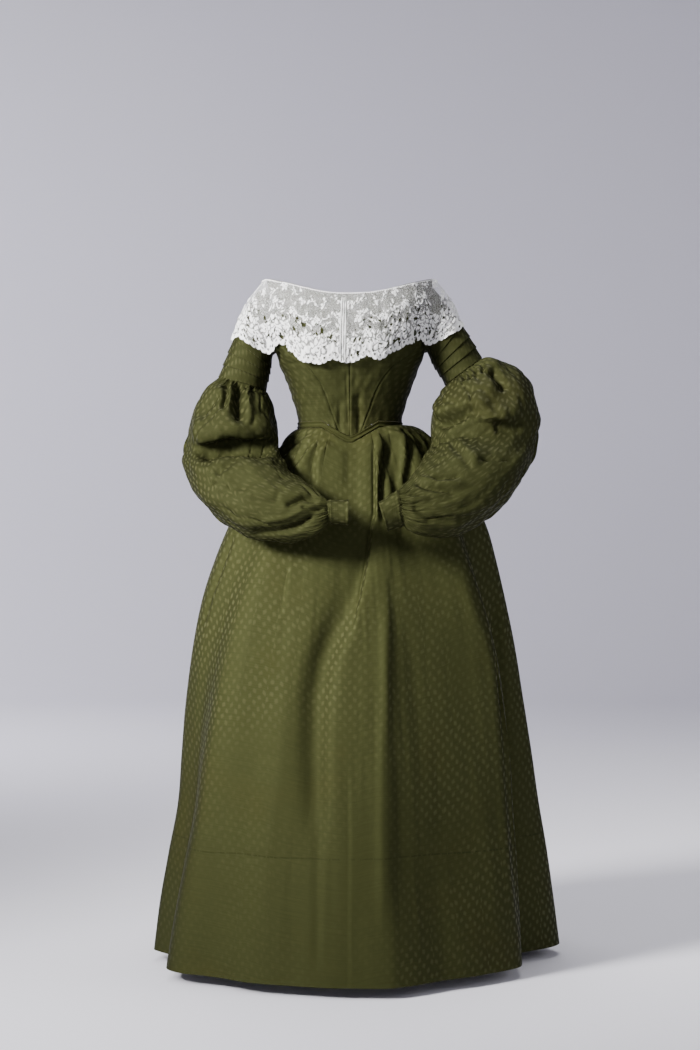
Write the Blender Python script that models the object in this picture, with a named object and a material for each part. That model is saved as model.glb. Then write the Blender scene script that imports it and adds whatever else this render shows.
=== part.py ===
import math
from collections import namedtuple

import bmesh
import bpy
from mathutils import Vector
from mathutils.bvhtree import BVHTree

# Day dress of figured olive silk with a lace bertha, in its worn, hollow form.
# Metres, +Z up, the front looks along -Y, the origin is the middle of the waist.
# Angles run from the centre front (0) past the viewer's right (90) to the back (180).

CLOTH_WALL = 0.0016
LACE_WALL = 0.0011
BAND_WALL = 0.0026
CUFF_WALL = 0.0020
SEAM_GAP = 0.0003
EDGE_TRIM = 0.00018
SHARP_ANGLE = 50

# Heights of the waist seam, the neck edge and the hem
SEAM_SIDE_HEIGHT = -0.004
SEAM_POINT_DROP = 0.031
SEAM_POINT_ANGLE = 35.0
SEAM_POINT_ROUND = 4.0
SEAM_POINT_LIFT = 1.6
NECK_FRONT_HEIGHT = 0.245
NECK_SIDE_HEIGHT = 0.280
NECK_BACK_HEIGHT = 0.262
HEM_HEIGHT = -0.983

# Armhole, an oval seen from the side and laid on the bodice
ARMHOLE_HEIGHT = 0.203
ARMHOLE_HALF_HEIGHT = 0.062
ARMHOLE_HALF_DEPTH = 0.054
ARMHOLE_RING_PROUD = 0.0006
DART_END_TURN = 126.0
ARMPIT_TURN = 180.0

BodiceRow = namedtuple("BodiceRow", "height half_width front back power")
BODICE_ROWS = [
    BodiceRow(-0.060, 0.1020, 0.094, 0.086, 2.2),
    BodiceRow(0.000, 0.0985, 0.081, 0.078, 2.2),
    BodiceRow(0.035, 0.1040, 0.086, 0.080, 2.25),
    BodiceRow(0.070, 0.1155, 0.096, 0.084, 2.3),
    BodiceRow(0.100, 0.1265, 0.107, 0.087, 2.4),
    BodiceRow(0.130, 0.1375, 0.115, 0.089, 2.5),
    BodiceRow(0.160, 0.1440, 0.116, 0.090, 2.6),
    BodiceRow(0.210, 0.1510, 0.105, 0.088, 2.8),
    BodiceRow(0.250, 0.1555, 0.092, 0.085, 2.8),
    BodiceRow(0.290, 0.1580, 0.084, 0.080, 2.8),
]

# Dart seam of the front, as its distance from the centre front
DartPoint = namedtuple("DartPoint", "height from_centre")
DART_POINTS = [
    DartPoint(0.020, 0.033),
    DartPoint(0.046, 0.042),
    DartPoint(0.070, 0.052),
    DartPoint(0.093, 0.067),
    DartPoint(0.112, 0.085),
    DartPoint(0.137, 0.118),
]
DART_FOOT_ANGLE = 15.0
SIDE_SEAM_ANGLE = 95.0

# How many steps the bodice panels have across, and along each stretch of their seams
BODICE_COLUMNS = 8
DART_STEPS = 7
ARMHOLE_FRONT_STEPS = 7
ARMHOLE_BACK_STEPS = 10
BODICE_MEAN_RADIUS = 0.12
NORMAL_STEP_ANGLE = 0.5
NORMAL_STEP_HEIGHT = 0.002
SEARCH_STEPS = 30

# Waist band with a rounded piping, as shares of its height and how far it stands proud
BAND_HEIGHT = 0.012
BAND_COLUMNS = 72
BAND_PROFILE = ((0.0, 0.0), (0.35, 0.0014), (1.0, 0.0))

SkirtRow = namedtuple("SkirtRow", "height left right front back")
SKIRT_ROWS = [
    SkirtRow(0.010, 0.101, 0.118, 0.079, 0.096),
    SkirtRow(-0.012, 0.107, 0.148, 0.086, 0.126),
    SkirtRow(-0.034, 0.127, 0.162, 0.092, 0.148),
    SkirtRow(-0.060, 0.152, 0.180, 0.101, 0.170),
    SkirtRow(-0.100, 0.185, 0.210, 0.115, 0.197),
    SkirtRow(-0.150, 0.213, 0.238, 0.135, 0.223),
    SkirtRow(-0.196, 0.234, 0.258, 0.153, 0.243),
    SkirtRow(-0.2525, 0.2565, 0.2736, 0.173, 0.263),
    SkirtRow(-0.3285, 0.281, 0.2926, 0.199, 0.284),
    SkirtRow(-0.4235, 0.300, 0.3135, 0.225, 0.306),
    SkirtRow(-0.5185, 0.3116, 0.3287, 0.251, 0.326),
    SkirtRow(-0.6135, 0.319, 0.344, 0.277, 0.344),
    SkirtRow(-0.7085, 0.325, 0.357, 0.302, 0.360),
    SkirtRow(-0.8035, 0.342, 0.374, 0.326, 0.376),
    SkirtRow(-0.8985, 0.357, 0.3876, 0.350, 0.391),
    SkirtRow(-0.983, 0.3667, 0.399, 0.371, 0.402),
]
SKIRT_POWER = 2.3
SKIRT_RINGS = [-0.034, -0.065, -0.105, -0.160, -0.225, -0.310, -0.420, -0.550, -0.690, -0.840, HEM_HEIGHT]

# Crests (+) and hollows (-) that run down the skirt, as distances from its plain form
FoldLine = namedtuple("FoldLine", "angle_top angle_middle angle_hem top middle hem")
FOLD_LINES = [
    FoldLine(-180, -180, -180, -0.004, -0.016, -0.022),
    FoldLine(-164, -165, -166, 0.005, 0.012, 0.012),
    FoldLine(-149, -151, -152, -0.005, -0.018, -0.030),
    FoldLine(-134, -136, -137, 0.006, 0.010, 0.016),
    FoldLine(-119, -121, -121, -0.004, -0.016, -0.026),
    FoldLine(-104, -107, -106, 0.005, 0.008, 0.010),
    FoldLine(-90, -95, -94, -0.002, -0.004, -0.006),
    FoldLine(-72, -84, -83, 0.004, 0.000, 0.002),
    FoldLine(-55, -68, -71, -0.004, -0.018, -0.032),
    FoldLine(-40, -50, -55, 0.004, 0.008, 0.018),
    FoldLine(-24, -33, -38, -0.002, -0.012, -0.026),
    FoldLine(-8, -23, -28, 0.001, -0.002, -0.012),
    FoldLine(7, -14, -20, 0.000, -0.009, -0.014),
    FoldLine(20, 1, 0, 0.004, 0.005, 0.000),
    FoldLine(31, 15, 11, 0.004, 0.005, 0.003),
    FoldLine(42, 29, 31, -0.006, -0.020, -0.039),
    FoldLine(54, 43, 48, 0.004, -0.014, -0.040),
    FoldLine(68, 66, 73, -0.005, -0.042, -0.078),
    FoldLine(84, 88, 92, 0.006, 0.001, 0.001),
    FoldLine(99, 103, 105, -0.005, -0.018, -0.026),
    FoldLine(115, 118, 119, 0.005, 0.010, 0.012),
    FoldLine(131, 133, 134, -0.005, -0.017, -0.030),
    FoldLine(147, 149, 149, 0.006, 0.012, 0.015),
    FoldLine(163, 164, 164, -0.004, -0.014, -0.024),
]
FOLD_TOP_HEIGHT = -0.030
FOLD_MIDDLE_HEIGHT = -0.450

# Knife pleats laid towards the back on both sides of the plain front
PLEATS_A_SIDE = 16
PLEAT_FIRST_ANGLE = 25.0
PLEAT_PITCH = (180.0 - PLEAT_FIRST_ANGLE) / PLEATS_A_SIDE
PLEAT_DEPTH = 0.0050
PLEAT_LENGTH = 0.150
PLEAT_START = 0.020
PLEAT_CREST = 0.75
PLEAT_SET_IN = 0.6
PLEAT_STEPS = (0.0, 0.375, PLEAT_CREST)
FRONT_STEPS = 6
FOLD_START = 0.030

# The stiff pleat heads: how far out, and how far they stand up above the waist seam
HEAD_DROP = 0.003
HEAD_SHARE = 0.42
HEAD_LEAN = 0.2
HEAD_TO_RING = 0.012
RiseRow = namedtuple("RiseRow", "angle rise")
RISE_ROWS = [
    RiseRow(-180, 0.006),
    RiseRow(-120, 0.005),
    RiseRow(-75, 0.000),
    RiseRow(25, -0.004),
    RiseRow(50, 0.008),
    RiseRow(80, 0.011),
    RiseRow(120, 0.008),
    RiseRow(180, 0.006),
]

# Widths of cloth, seamed inside a pleat. Pleats count from the front, less than 0 to the left.
SkirtWidth = namedtuple("SkirtWidth", "name first_pleat last_pleat")
SKIRT_WIDTHS = [
    SkirtWidth("skirt_front", -1, 1),
    SkirtWidth("skirt_side_right", 1, 9),
    SkirtWidth("skirt_back_right", 9, 16),
    SkirtWidth("skirt_back_left", -16, -9),
    SkirtWidth("skirt_side_left", -9, -1),
]

# Sleeve sections: the inner and outer edge as seen from the front, the depth of the
# middle, and how far the section reaches to the front and to the back of it
Section = namedtuple("Section", "inner_x inner_z outer_x outer_z middle_y front back")
UPPER_SLEEVES = {
    "left": [
        Section(-0.1470, 0.137, -0.175, 0.258, 0.000, 0.053, 0.053),
        Section(-0.1480, 0.131, -0.197, 0.226, 0.000, 0.051, 0.052),
        Section(-0.1490, 0.123, -0.211, 0.194, 0.000, 0.048, 0.050),
        Section(-0.1510, 0.114, -0.221, 0.166, -0.002, 0.046, 0.048),
        Section(-0.1530, 0.102, -0.230, 0.141, -0.004, 0.045, 0.046),
        Section(-0.1565, 0.087, -0.239, 0.117, -0.006, 0.044, 0.044),
        Section(-0.1610, 0.070, -0.247, 0.094, -0.008, 0.042, 0.043),
    ],
    "right": [
        Section(0.1470, 0.142, 0.177, 0.243, 0.000, 0.051, 0.052),
        Section(0.1510, 0.133, 0.195, 0.217, 0.000, 0.048, 0.050),
        Section(0.1570, 0.122, 0.212, 0.194, -0.002, 0.046, 0.048),
        Section(0.1635, 0.110, 0.226, 0.171, -0.004, 0.045, 0.046),
        Section(0.1725, 0.096, 0.238, 0.150, -0.006, 0.044, 0.044),
        Section(0.1820, 0.081, 0.248, 0.130, -0.008, 0.042, 0.043),
    ],
}
TUCK_SECTIONS = 4
TUCK_STEP = 0.0028
TUCK_TURN = 0.0010
SLEEVE_COLUMNS = 20

PUFFS = {
    "left": [
        Section(-0.154, 0.063, -0.273, 0.070, -0.014, 0.060, 0.058),
        Section(-0.143, 0.036, -0.292, 0.030, -0.020, 0.078, 0.076),
        Section(-0.136, 0.000, -0.306, -0.017, -0.035, 0.086, 0.086),
        Section(-0.133, -0.030, -0.312, -0.048, -0.048, 0.066, 0.090),
        Section(-0.129, -0.055, -0.305, -0.084, -0.084, 0.088, 0.078),
        Section(-0.119, -0.071, -0.278, -0.136, -0.120, 0.084, 0.068),
        Section(-0.103, -0.090, -0.223, -0.188, -0.156, 0.074, 0.060),
        Section(-0.085, -0.107, -0.167, -0.211, -0.182, 0.062, 0.054),
        Section(-0.069, -0.119, -0.112, -0.217, -0.195, 0.052, 0.050),
        Section(-0.055, -0.129, -0.070, -0.209, -0.209, 0.042, 0.040),
        Section(-0.045, -0.136, -0.046, -0.194, -0.215, 0.033, 0.032),
    ],
    "right": [
        Section(0.172, 0.070, 0.280, 0.128, -0.014, 0.060, 0.058),
        Section(0.163, 0.050, 0.318, 0.108, -0.020, 0.078, 0.076),
        Section(0.157, 0.024, 0.342, 0.073, -0.035, 0.086, 0.086),
        Section(0.153, -0.006, 0.354, 0.028, -0.050, 0.092, 0.090),
        Section(0.150, -0.030, 0.350, -0.022, -0.078, 0.070, 0.082),
        Section(0.143, -0.052, 0.332, -0.075, -0.108, 0.088, 0.074),
        Section(0.131, -0.072, 0.293, -0.132, -0.140, 0.084, 0.066),
        Section(0.116, -0.093, 0.245, -0.177, -0.168, 0.070, 0.060),
        Section(0.105, -0.107, 0.188, -0.204, -0.186, 0.058, 0.055),
        Section(0.096, -0.117, 0.140, -0.207, -0.202, 0.046, 0.044),
        Section(0.089, -0.122, 0.107, -0.197, -0.211, 0.034, 0.033),
    ],
}
PUFF_COLUMNS = 28
PUFF_GATHERS = 14
PUFF_GATHER_DEPTH = 0.0030
PUFF_GATHER_FADE = 0.4
PUFF_NECK = 0.0030

CUFFS = {
    "left": [
        Section(-0.0375, -0.1410, -0.0350, -0.1840, -0.2200, 0.025, 0.025),
        Section(-0.0200, -0.1410, -0.0190, -0.1850, -0.2220, 0.025, 0.025),
        Section(-0.0025, -0.1410, -0.0030, -0.1860, -0.2250, 0.026, 0.026),
    ],
    "right": [
        Section(0.0840, -0.1240, 0.0940, -0.1890, -0.2150, 0.028, 0.028),
        Section(0.0670, -0.1350, 0.0810, -0.1930, -0.2180, 0.027, 0.027),
        Section(0.0510, -0.1460, 0.0670, -0.1970, -0.2210, 0.026, 0.026),
    ],
}
SLEEVE_POWER = 2.15

# Where the sleeves lie over the skirt they are kept clear of it, looked for in small steps
SLEEVE_CLEARANCE = 0.0110
SLEEVE_OVER_SKIRT_HEIGHT = -0.012
CLEAR_FIRST_DEPTH = -0.40
CLEAR_STEP = 0.001

# Lower edge of the lace, by the angle of the neck point that it hangs from
LaceEdge = namedtuple("LaceEdge", "angle x y z")
LACE_EDGES = {
    "left": [
        LaceEdge(0, -0.0004, -0.126, 0.110),
        LaceEdge(14, -0.030, -0.125, 0.115),
        LaceEdge(28, -0.060, -0.120, 0.109),
        LaceEdge(38, -0.084, -0.110, 0.113),
        LaceEdge(50, -0.112, -0.090, 0.134),
        LaceEdge(60, -0.131, -0.068, 0.149),
        LaceEdge(68, -0.152, -0.052, 0.134),
        LaceEdge(76, -0.178, -0.047, 0.143),
        LaceEdge(84, -0.206, -0.034, 0.161),
        LaceEdge(92, -0.226, -0.002, 0.166),
        LaceEdge(102, -0.205, 0.036, 0.160),
        LaceEdge(112, -0.175, 0.051, 0.147),
        LaceEdge(124, -0.140, 0.070, 0.150),
        LaceEdge(140, -0.098, 0.090, 0.137),
        LaceEdge(160, -0.048, 0.096, 0.130),
        LaceEdge(180, -0.0004, 0.098, 0.134),
    ],
    "right": [
        LaceEdge(0, 0.0004, -0.126, 0.110),
        LaceEdge(14, 0.028, -0.125, 0.121),
        LaceEdge(28, 0.058, -0.120, 0.118),
        LaceEdge(38, 0.082, -0.110, 0.133),
        LaceEdge(50, 0.110, -0.090, 0.147),
        LaceEdge(60, 0.127, -0.068, 0.157),
        LaceEdge(68, 0.146, -0.054, 0.150),
        LaceEdge(76, 0.170, -0.048, 0.157),
        LaceEdge(84, 0.196, -0.034, 0.172),
        LaceEdge(92, 0.214, -0.002, 0.186),
        LaceEdge(102, 0.196, 0.036, 0.178),
        LaceEdge(112, 0.170, 0.051, 0.165),
        LaceEdge(124, 0.137, 0.070, 0.160),
        LaceEdge(140, 0.098, 0.090, 0.145),
        LaceEdge(160, 0.048, 0.096, 0.136),
        LaceEdge(180, 0.0004, 0.098, 0.134),
    ],
}
LacePiece = namedtuple("LacePiece", "name first_angle last_angle columns")
LACE_PIECES = [
    LacePiece("front", 0.0, 63.0, 12),
    LacePiece("shoulder", 63.0, 119.0, 11),
    LacePiece("back", 119.0, 180.0, 9),
]
LACE_ROWS = 6
LACE_CLEARANCE = 0.0040
LACE_LIFT_EXTRA = 0.0001
LACE_TOP_DROP = 0.0005
LACE_BULGE = 0.012
LACE_SCALLOP = 0.005
LACE_SCALLOPS = 9
LACE_SCALLOP_SHARE = 0.6
LACE_HOLE_INSET = 0.001
LACE_HOLE_HALF_DIAGONAL = 0.0034
LACE_HOLE_ROW = 4

OLIVE = (0.085, 0.082, 0.028)
OLIVE_DARK = (0.070, 0.068, 0.024)
IVORY = (0.68, 0.68, 0.66)
SILK_ROUGHNESS = 0.55
LACE_ROUGHNESS = 0.9


def clear_scene():
    for item in list(bpy.data.objects):
        bpy.data.objects.remove(item, do_unlink=True)


def cloth_material(name, colour, roughness):
    material = bpy.data.materials.new(name)
    material.use_nodes = True
    shader = material.node_tree.nodes["Principled BSDF"]
    shader.inputs["Base Color"].default_value = (*colour, 1.0)
    shader.inputs["Roughness"].default_value = roughness
    shader.inputs["Metallic"].default_value = 0.0
    return material


# Smooth curve through a table's rows, read at a value of its key column
def read_table(rows, key, column, value):
    keys = [getattr(row, key) for row in rows]
    values = [getattr(row, column) for row in rows]
    if keys[0] > keys[-1]:
        keys.reverse()
        values.reverse()
    if value <= keys[0]:
        return values[0]
    if value >= keys[-1]:
        return values[-1]
    index = max(i for i, k in enumerate(keys) if k <= value)
    span = keys[index + 1] - keys[index]
    share = (value - keys[index]) / span
    slope = (values[index + 1] - values[index]) / span
    before = slope
    after = slope
    if index > 0:
        before = (values[index + 1] - values[index - 1]) / (keys[index + 1] - keys[index - 1])
    if index + 2 < len(keys):
        after = (values[index + 2] - values[index]) / (keys[index + 2] - keys[index])
    return hermite(values[index], values[index + 1], before * span, after * span, share)


def hermite(first, last, leaving, arriving, share):
    square = share * share
    cube = square * share
    return (
        first * (2 * cube - 3 * square + 1)
        + leaving * (cube - 2 * square + share)
        + last * (3 * square - 2 * cube)
        + arriving * (cube - square)
    )


def ease(share):
    share = min(max(share, 0.0), 1.0)
    return share * share * (3 - 2 * share)


def mix(first, last, share):
    return first + (last - first) * share


def oval_radius(angle, half_width, half_depth, power):
    across = abs(math.sin(math.radians(angle))) / half_width
    along = abs(math.cos(math.radians(angle))) / half_depth
    return (across ** power + along ** power) ** (-1 / power)


def wrap_angle(angle):
    return (angle + 180.0) % 360.0 - 180.0


def bodice_point(angle, height, proud=0.0):
    turn = wrap_angle(angle)
    column = "front" if abs(turn) <= 90 else "back"
    radius = oval_radius(
        turn,
        read_table(BODICE_ROWS, "height", "half_width", height),
        read_table(BODICE_ROWS, "height", column, height),
        read_table(BODICE_ROWS, "height", "power", height),
    )
    across = math.sin(math.radians(turn))
    along = -math.cos(math.radians(turn))
    return Vector((across * (radius + proud), along * (radius + proud), height))


# Angle at which the bodice has the given x or y, between two angles
def bodice_angle(axis, wanted, height, low, high):
    rising = bodice_point(high, height)[axis] > bodice_point(low, height)[axis]
    for _ in range(SEARCH_STEPS):
        middle = (low + high) / 2
        if (bodice_point(middle, height)[axis] < wanted) == rising:
            low = middle
        else:
            high = middle
    return (low + high) / 2


def seam_height(angle):
    turn = math.hypot(wrap_angle(angle), SEAM_POINT_ROUND) - SEAM_POINT_LIFT
    share = max(0.0, 1 - turn / SEAM_POINT_ANGLE)
    return SEAM_SIDE_HEIGHT - SEAM_POINT_DROP * share


def neck_height(angle):
    end = NECK_FRONT_HEIGHT if abs(wrap_angle(angle)) <= 90 else NECK_BACK_HEIGHT
    return mix(end, NECK_SIDE_HEIGHT, abs(math.sin(math.radians(angle))) ** 3)


def bodice_foot(angle):
    return seam_height(angle) + BAND_HEIGHT + 2 * SEAM_GAP


# Faces over a grid of points, all turned outwards
def grid_faces(shape, grid, closed=False):
    points = [[shape.verts.new(point) for point in row] for row in grid]
    columns = len(grid[0])
    last = columns if closed else columns - 1
    faces = {}
    outward = 0.0
    for row in range(len(grid) - 1):
        middle = sum(grid[row], Vector()) / columns
        for column in range(last):
            after = (column + 1) % columns
            face = shape.faces.new((
                points[row][column], points[row][after],
                points[row + 1][after], points[row + 1][column],
            ))
            face.normal_update()
            centre = face.calc_center_median()
            if not closed:
                middle = Vector((0.0, 0.0, centre.z))
            outward += face.normal.dot(centre - middle)
            faces[(row, column)] = face
    if outward < 0:
        bmesh.ops.reverse_faces(shape, faces=list(faces.values()))
    return faces


# One object from a grid of outer points, with its wall on the inner side
def cloth_wall(name, grid, colour, wall, roughness=SILK_ROUGHNESS, holes=()):
    mesh = bpy.data.meshes.new(name)
    shape = bmesh.new()
    faces = grid_faces(shape, grid)
    if holes:
        cut_holes(shape, [faces[place] for place in holes])
    shape.to_mesh(mesh)
    shape.free()
    mesh.shade_smooth()
    piece = add_piece(name, mesh, colour, roughness)
    solidify = piece.modifiers.new("wall", "SOLIDIFY")
    solidify.thickness = wall
    solidify.offset = -1.0
    solidify.use_quality_normals = True


def add_piece(name, mesh, colour, roughness):
    piece = bpy.data.objects.new(name, mesh)
    bpy.context.scene.collection.objects.link(piece)
    piece.data.materials.append(cloth_material(name + "_cloth", colour, roughness))
    return piece


# One object from its outer and inner points, closed along a panel's four edges or a tube's ends
def double_wall(name, outer, inner, colour, tube=False):
    mesh = bpy.data.meshes.new(name)
    shape = bmesh.new()
    rows = len(outer)
    columns = len(outer[0])
    skins = [[[shape.verts.new(point) for point in row] for row in grid] for grid in (outer, inner)]
    for row in range(rows - 1):
        for column in range(columns if tube else columns - 1):
            after = (column + 1) % columns
            for skin in skins:
                shape.faces.new((
                    skin[row][column], skin[row][after],
                    skin[row + 1][after], skin[row + 1][column],
                ))
    if tube:
        rims = [[(row, column) for column in range(columns)] for row in (0, rows - 1)]
    else:
        rim = [(0, column) for column in range(columns)]
        rim += [(row, columns - 1) for row in range(1, rows)]
        rim += [(rows - 1, column) for column in range(columns - 2, -1, -1)]
        rim += [(row, 0) for row in range(rows - 2, 0, -1)]
        rims = [rim]
    for rim in rims:
        for first, last in zip(rim, rim[1:] + rim[:1]):
            shape.faces.new((
                skins[0][first[0]][first[1]], skins[0][last[0]][last[1]],
                skins[1][last[0]][last[1]], skins[1][first[0]][first[1]],
            ))
    bmesh.ops.recalc_face_normals(shape, faces=shape.faces)
    shape.to_mesh(mesh)
    shape.free()
    mesh.shade_smooth()
    mesh.set_sharp_from_angle(angle=math.radians(SHARP_ANGLE))
    add_piece(name, mesh, colour, SILK_ROUGHNESS)


def cut_holes(shape, faces):
    bmesh.ops.inset_individual(shape, faces=faces, thickness=LACE_HOLE_INSET)
    for face in faces:
        centre = face.calc_center_median()
        for vert in face.verts:
            vert.co = centre + (vert.co - centre).normalized() * LACE_HOLE_HALF_DIAGONAL
    bmesh.ops.delete(shape, geom=faces, context="FACES")


# A little more than half of the seam gap comes off each edge of a panel
def trim_edges(grid, ends=True):
    for row in grid:
        row[0] = row[0] + (row[1] - row[0]).normalized() * EDGE_TRIM
        row[-1] = row[-1] + (row[-2] - row[-1]).normalized() * EDGE_TRIM
    if ends:
        for column in range(len(grid[0])):
            grid[0][column] += (grid[1][column] - grid[0][column]).normalized() * EDGE_TRIM
            grid[-1][column] += (grid[-2][column] - grid[-1][column]).normalized() * EDGE_TRIM
    return grid


# Bodice, cut as a centre front, a side front under the dart seam, and a back

def armhole_place(turn):
    height = ARMHOLE_HEIGHT + ARMHOLE_HALF_HEIGHT * math.cos(math.radians(turn))
    depth = -ARMHOLE_HALF_DEPTH * math.sin(math.radians(turn))
    return (bodice_angle(1, depth, height, 0.0, 180.0), height)


# Points spread evenly along a run of (angle, height) places
def even_places(places, count):
    lengths = [0.0]
    for first, last in zip(places, places[1:]):
        across = math.radians(last[0] - first[0]) * BODICE_MEAN_RADIUS
        lengths.append(lengths[-1] + math.hypot(across, last[1] - first[1]))
    result = []
    for step in range(count + 1):
        wanted = lengths[-1] * step / count
        index = min(max(i for i, l in enumerate(lengths) if l <= wanted + 1e-9), len(places) - 2)
        share = (wanted - lengths[index]) / (lengths[index + 1] - lengths[index])
        result.append(tuple(mix(places[index][k], places[index + 1][k], share) for k in (0, 1)))
    return result


def edge_places(first_angle, last_angle, height_of):
    angles = [mix(first_angle, last_angle, i / BODICE_COLUMNS) for i in range(BODICE_COLUMNS + 1)]
    return [(angle, height_of(angle)) for angle in angles]


def dart_places():
    places = [(DART_FOOT_ANGLE, bodice_foot(DART_FOOT_ANGLE))]
    for point in DART_POINTS:
        places.append((bodice_angle(0, point.from_centre, point.height, 0.0, 90.0), point.height))
    places.append(armhole_place(DART_END_TURN))
    return places


def side_seam_places():
    return [(SIDE_SEAM_ANGLE, bodice_foot(SIDE_SEAM_ANGLE)), armhole_place(ARMPIT_TURN)]


# Outward direction of the bodice form at a place
def bodice_normal(angle, height):
    turn, rise = NORMAL_STEP_ANGLE, NORMAL_STEP_HEIGHT
    around = bodice_point(angle + turn, height) - bodice_point(angle - turn, height)
    upward = bodice_point(angle, height + rise) - bodice_point(angle, height - rise)
    return around.cross(upward).normalized()


# A panel between four runs of (angle, height) places, laid on the bodice form
def bodice_panel(name, side, low, high, left, right):
    rows = len(right) - 1
    outer = []
    inner = []
    for row in range(rows + 1):
        v = row / rows
        line = []
        under = []
        for column in range(BODICE_COLUMNS + 1):
            u = column / BODICE_COLUMNS
            place = []
            for k in (0, 1):
                edges = mix(left[row][k], right[row][k], u) + mix(low[column][k], high[column][k], v)
                corners = mix(mix(left[0][k], right[0][k], u), mix(left[-1][k], right[-1][k], u), v)
                place.append(edges - corners)
            angle, height = side * place[0], place[1]
            line.append(bodice_point(angle, height))
            under.append(line[-1] - bodice_normal(angle, height) * CLOTH_WALL)
        outer.append(line)
        inner.append(under)
    double_wall(name, trim_edges(outer), trim_edges(inner), OLIVE)
    return outer


def make_bodice():
    skins = []
    shoulder = (90.0, neck_height(90.0))
    dart = even_places(dart_places(), DART_STEPS)
    side_seam = even_places(side_seam_places(), DART_STEPS)
    front_turns = [mix(DART_END_TURN, 0.0, i / ARMHOLE_FRONT_STEPS) for i in range(ARMHOLE_FRONT_STEPS + 1)]
    back_turns = [mix(ARMPIT_TURN, 360.0, i / ARMHOLE_BACK_STEPS) for i in range(ARMHOLE_BACK_STEPS + 1)]
    front_arm = [armhole_place(turn) for turn in front_turns]
    back_arm = [armhole_place(turn) for turn in back_turns]
    turns = [mix(DART_END_TURN, ARMPIT_TURN, i / BODICE_COLUMNS) for i in range(BODICE_COLUMNS + 1)]
    under_arm = [armhole_place(turn) for turn in turns]
    for name, side in (("left", -1), ("right", 1)):
        outer = dart + front_arm[1:] + [shoulder]
        centre = even_places([(0.0, bodice_foot(0.0)), (0.0, neck_height(0.0))], len(outer) - 1)
        low = edge_places(0.0, DART_FOOT_ANGLE, bodice_foot)
        high = edge_places(0.0, 90.0, neck_height)
        skins.append(bodice_panel("bodice_front_centre_" + name, side, low, high, centre, outer))
        low = edge_places(DART_FOOT_ANGLE, SIDE_SEAM_ANGLE, bodice_foot)
        skins.append(bodice_panel("bodice_front_side_" + name, side, low, under_arm, dart, side_seam))
        inner = side_seam + back_arm[1:] + [shoulder]
        back = even_places([(180.0, bodice_foot(180.0)), (180.0, neck_height(180.0))], len(inner) - 1)
        low = edge_places(SIDE_SEAM_ANGLE, 180.0, bodice_foot)
        high = edge_places(90.0, 180.0, neck_height)
        skins.append(bodice_panel("bodice_back_" + name, side, low, high, inner, back))
    return skins


# From centre back to centre back
def make_band():
    grid = []
    for share, proud in BAND_PROFILE:
        line = []
        for column in range(BAND_COLUMNS + 1):
            angle = mix(-180.0, 180.0, column / BAND_COLUMNS)
            height = seam_height(angle) + SEAM_GAP + share * (BAND_HEIGHT - SEAM_GAP)
            line.append(bodice_point(angle, height, proud))
        grid.append(line)
    cloth_wall("waist_band", trim_edges(grid, ends=False), OLIVE_DARK, BAND_WALL)


# Skirt

def fold_offset(angle, height):
    low = height < FOLD_MIDDLE_HEIGHT
    if low:
        share = ease((FOLD_MIDDLE_HEIGHT - height) / (FOLD_MIDDLE_HEIGHT - HEM_HEIGHT))
    else:
        share = min(max((FOLD_TOP_HEIGHT - height) / (FOLD_TOP_HEIGHT - FOLD_MIDDLE_HEIGHT), 0.0), 1.0)
    lines = []
    for line in FOLD_LINES:
        if low:
            place = mix(line.angle_middle, line.angle_hem, share)
            depth = mix(line.middle, line.hem, share)
        else:
            place = mix(line.angle_top, line.angle_middle, share)
            depth = mix(line.top, line.middle, share)
        lines.append((place, depth))
    lines.append((lines[0][0] + 360.0, lines[0][1]))
    turn = (angle - lines[0][0]) % 360.0 + lines[0][0]
    for (first, depth), (last, next_depth) in zip(lines, lines[1:]):
        if first <= turn <= last:
            return mix(depth, next_depth, ease((turn - first) / (last - first)))
    return lines[0][1]


def pleat_offset(angle, height):
    turn = abs(wrap_angle(angle))
    if turn < PLEAT_FIRST_ANGLE:
        return 0.0
    part = (turn - PLEAT_FIRST_ANGLE) / PLEAT_PITCH % 1.0
    tooth = min(part / PLEAT_CREST, (1 - part) / (1 - PLEAT_CREST))
    fade = 1 - ease((SEAM_SIDE_HEIGHT - height) / PLEAT_LENGTH)
    start = ease((SEAM_SIDE_HEIGHT - height) / PLEAT_START)
    return PLEAT_DEPTH * (tooth - PLEAT_SET_IN) * fade * start


def skirt_radius(angle, height):
    turn = wrap_angle(angle)
    radius = oval_radius(
        turn,
        read_table(SKIRT_ROWS, "height", "right" if turn > 0 else "left", height),
        read_table(SKIRT_ROWS, "height", "front" if abs(turn) <= 90 else "back", height),
        SKIRT_POWER,
    )
    start = ease((SEAM_SIDE_HEIGHT - height) / FOLD_START)
    return radius + fold_offset(angle, height) * start + pleat_offset(angle, height)


def ring_point(angle, radius, height):
    return Vector((radius * math.sin(math.radians(angle)), -radius * math.cos(math.radians(angle)), height))


# From the waist seam up over the stiff pleat heads, then down to the level hem
def skirt_column(angle):
    seam = seam_height(angle) - SEAM_GAP
    at_seam = bodice_point(angle, seam)
    points = [at_seam]
    seam_radius = at_seam.xy.length
    first_height = min(SKIRT_RINGS[0], seam - HEAD_TO_RING)
    first_radius = skirt_radius(angle, first_height)
    rise = read_table(RISE_ROWS, "angle", "rise", wrap_angle(angle))
    head_height = seam - HEAD_DROP + rise
    head_radius = mix(seam_radius, first_radius, HEAD_SHARE) - max(0.0, rise) * HEAD_LEAN
    points.append(ring_point(angle, head_radius, head_height))
    points.append(ring_point(angle, first_radius, first_height))
    for height in SKIRT_RINGS[1:]:
        points.append(ring_point(angle, skirt_radius(angle, height), height))
    return points


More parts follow.
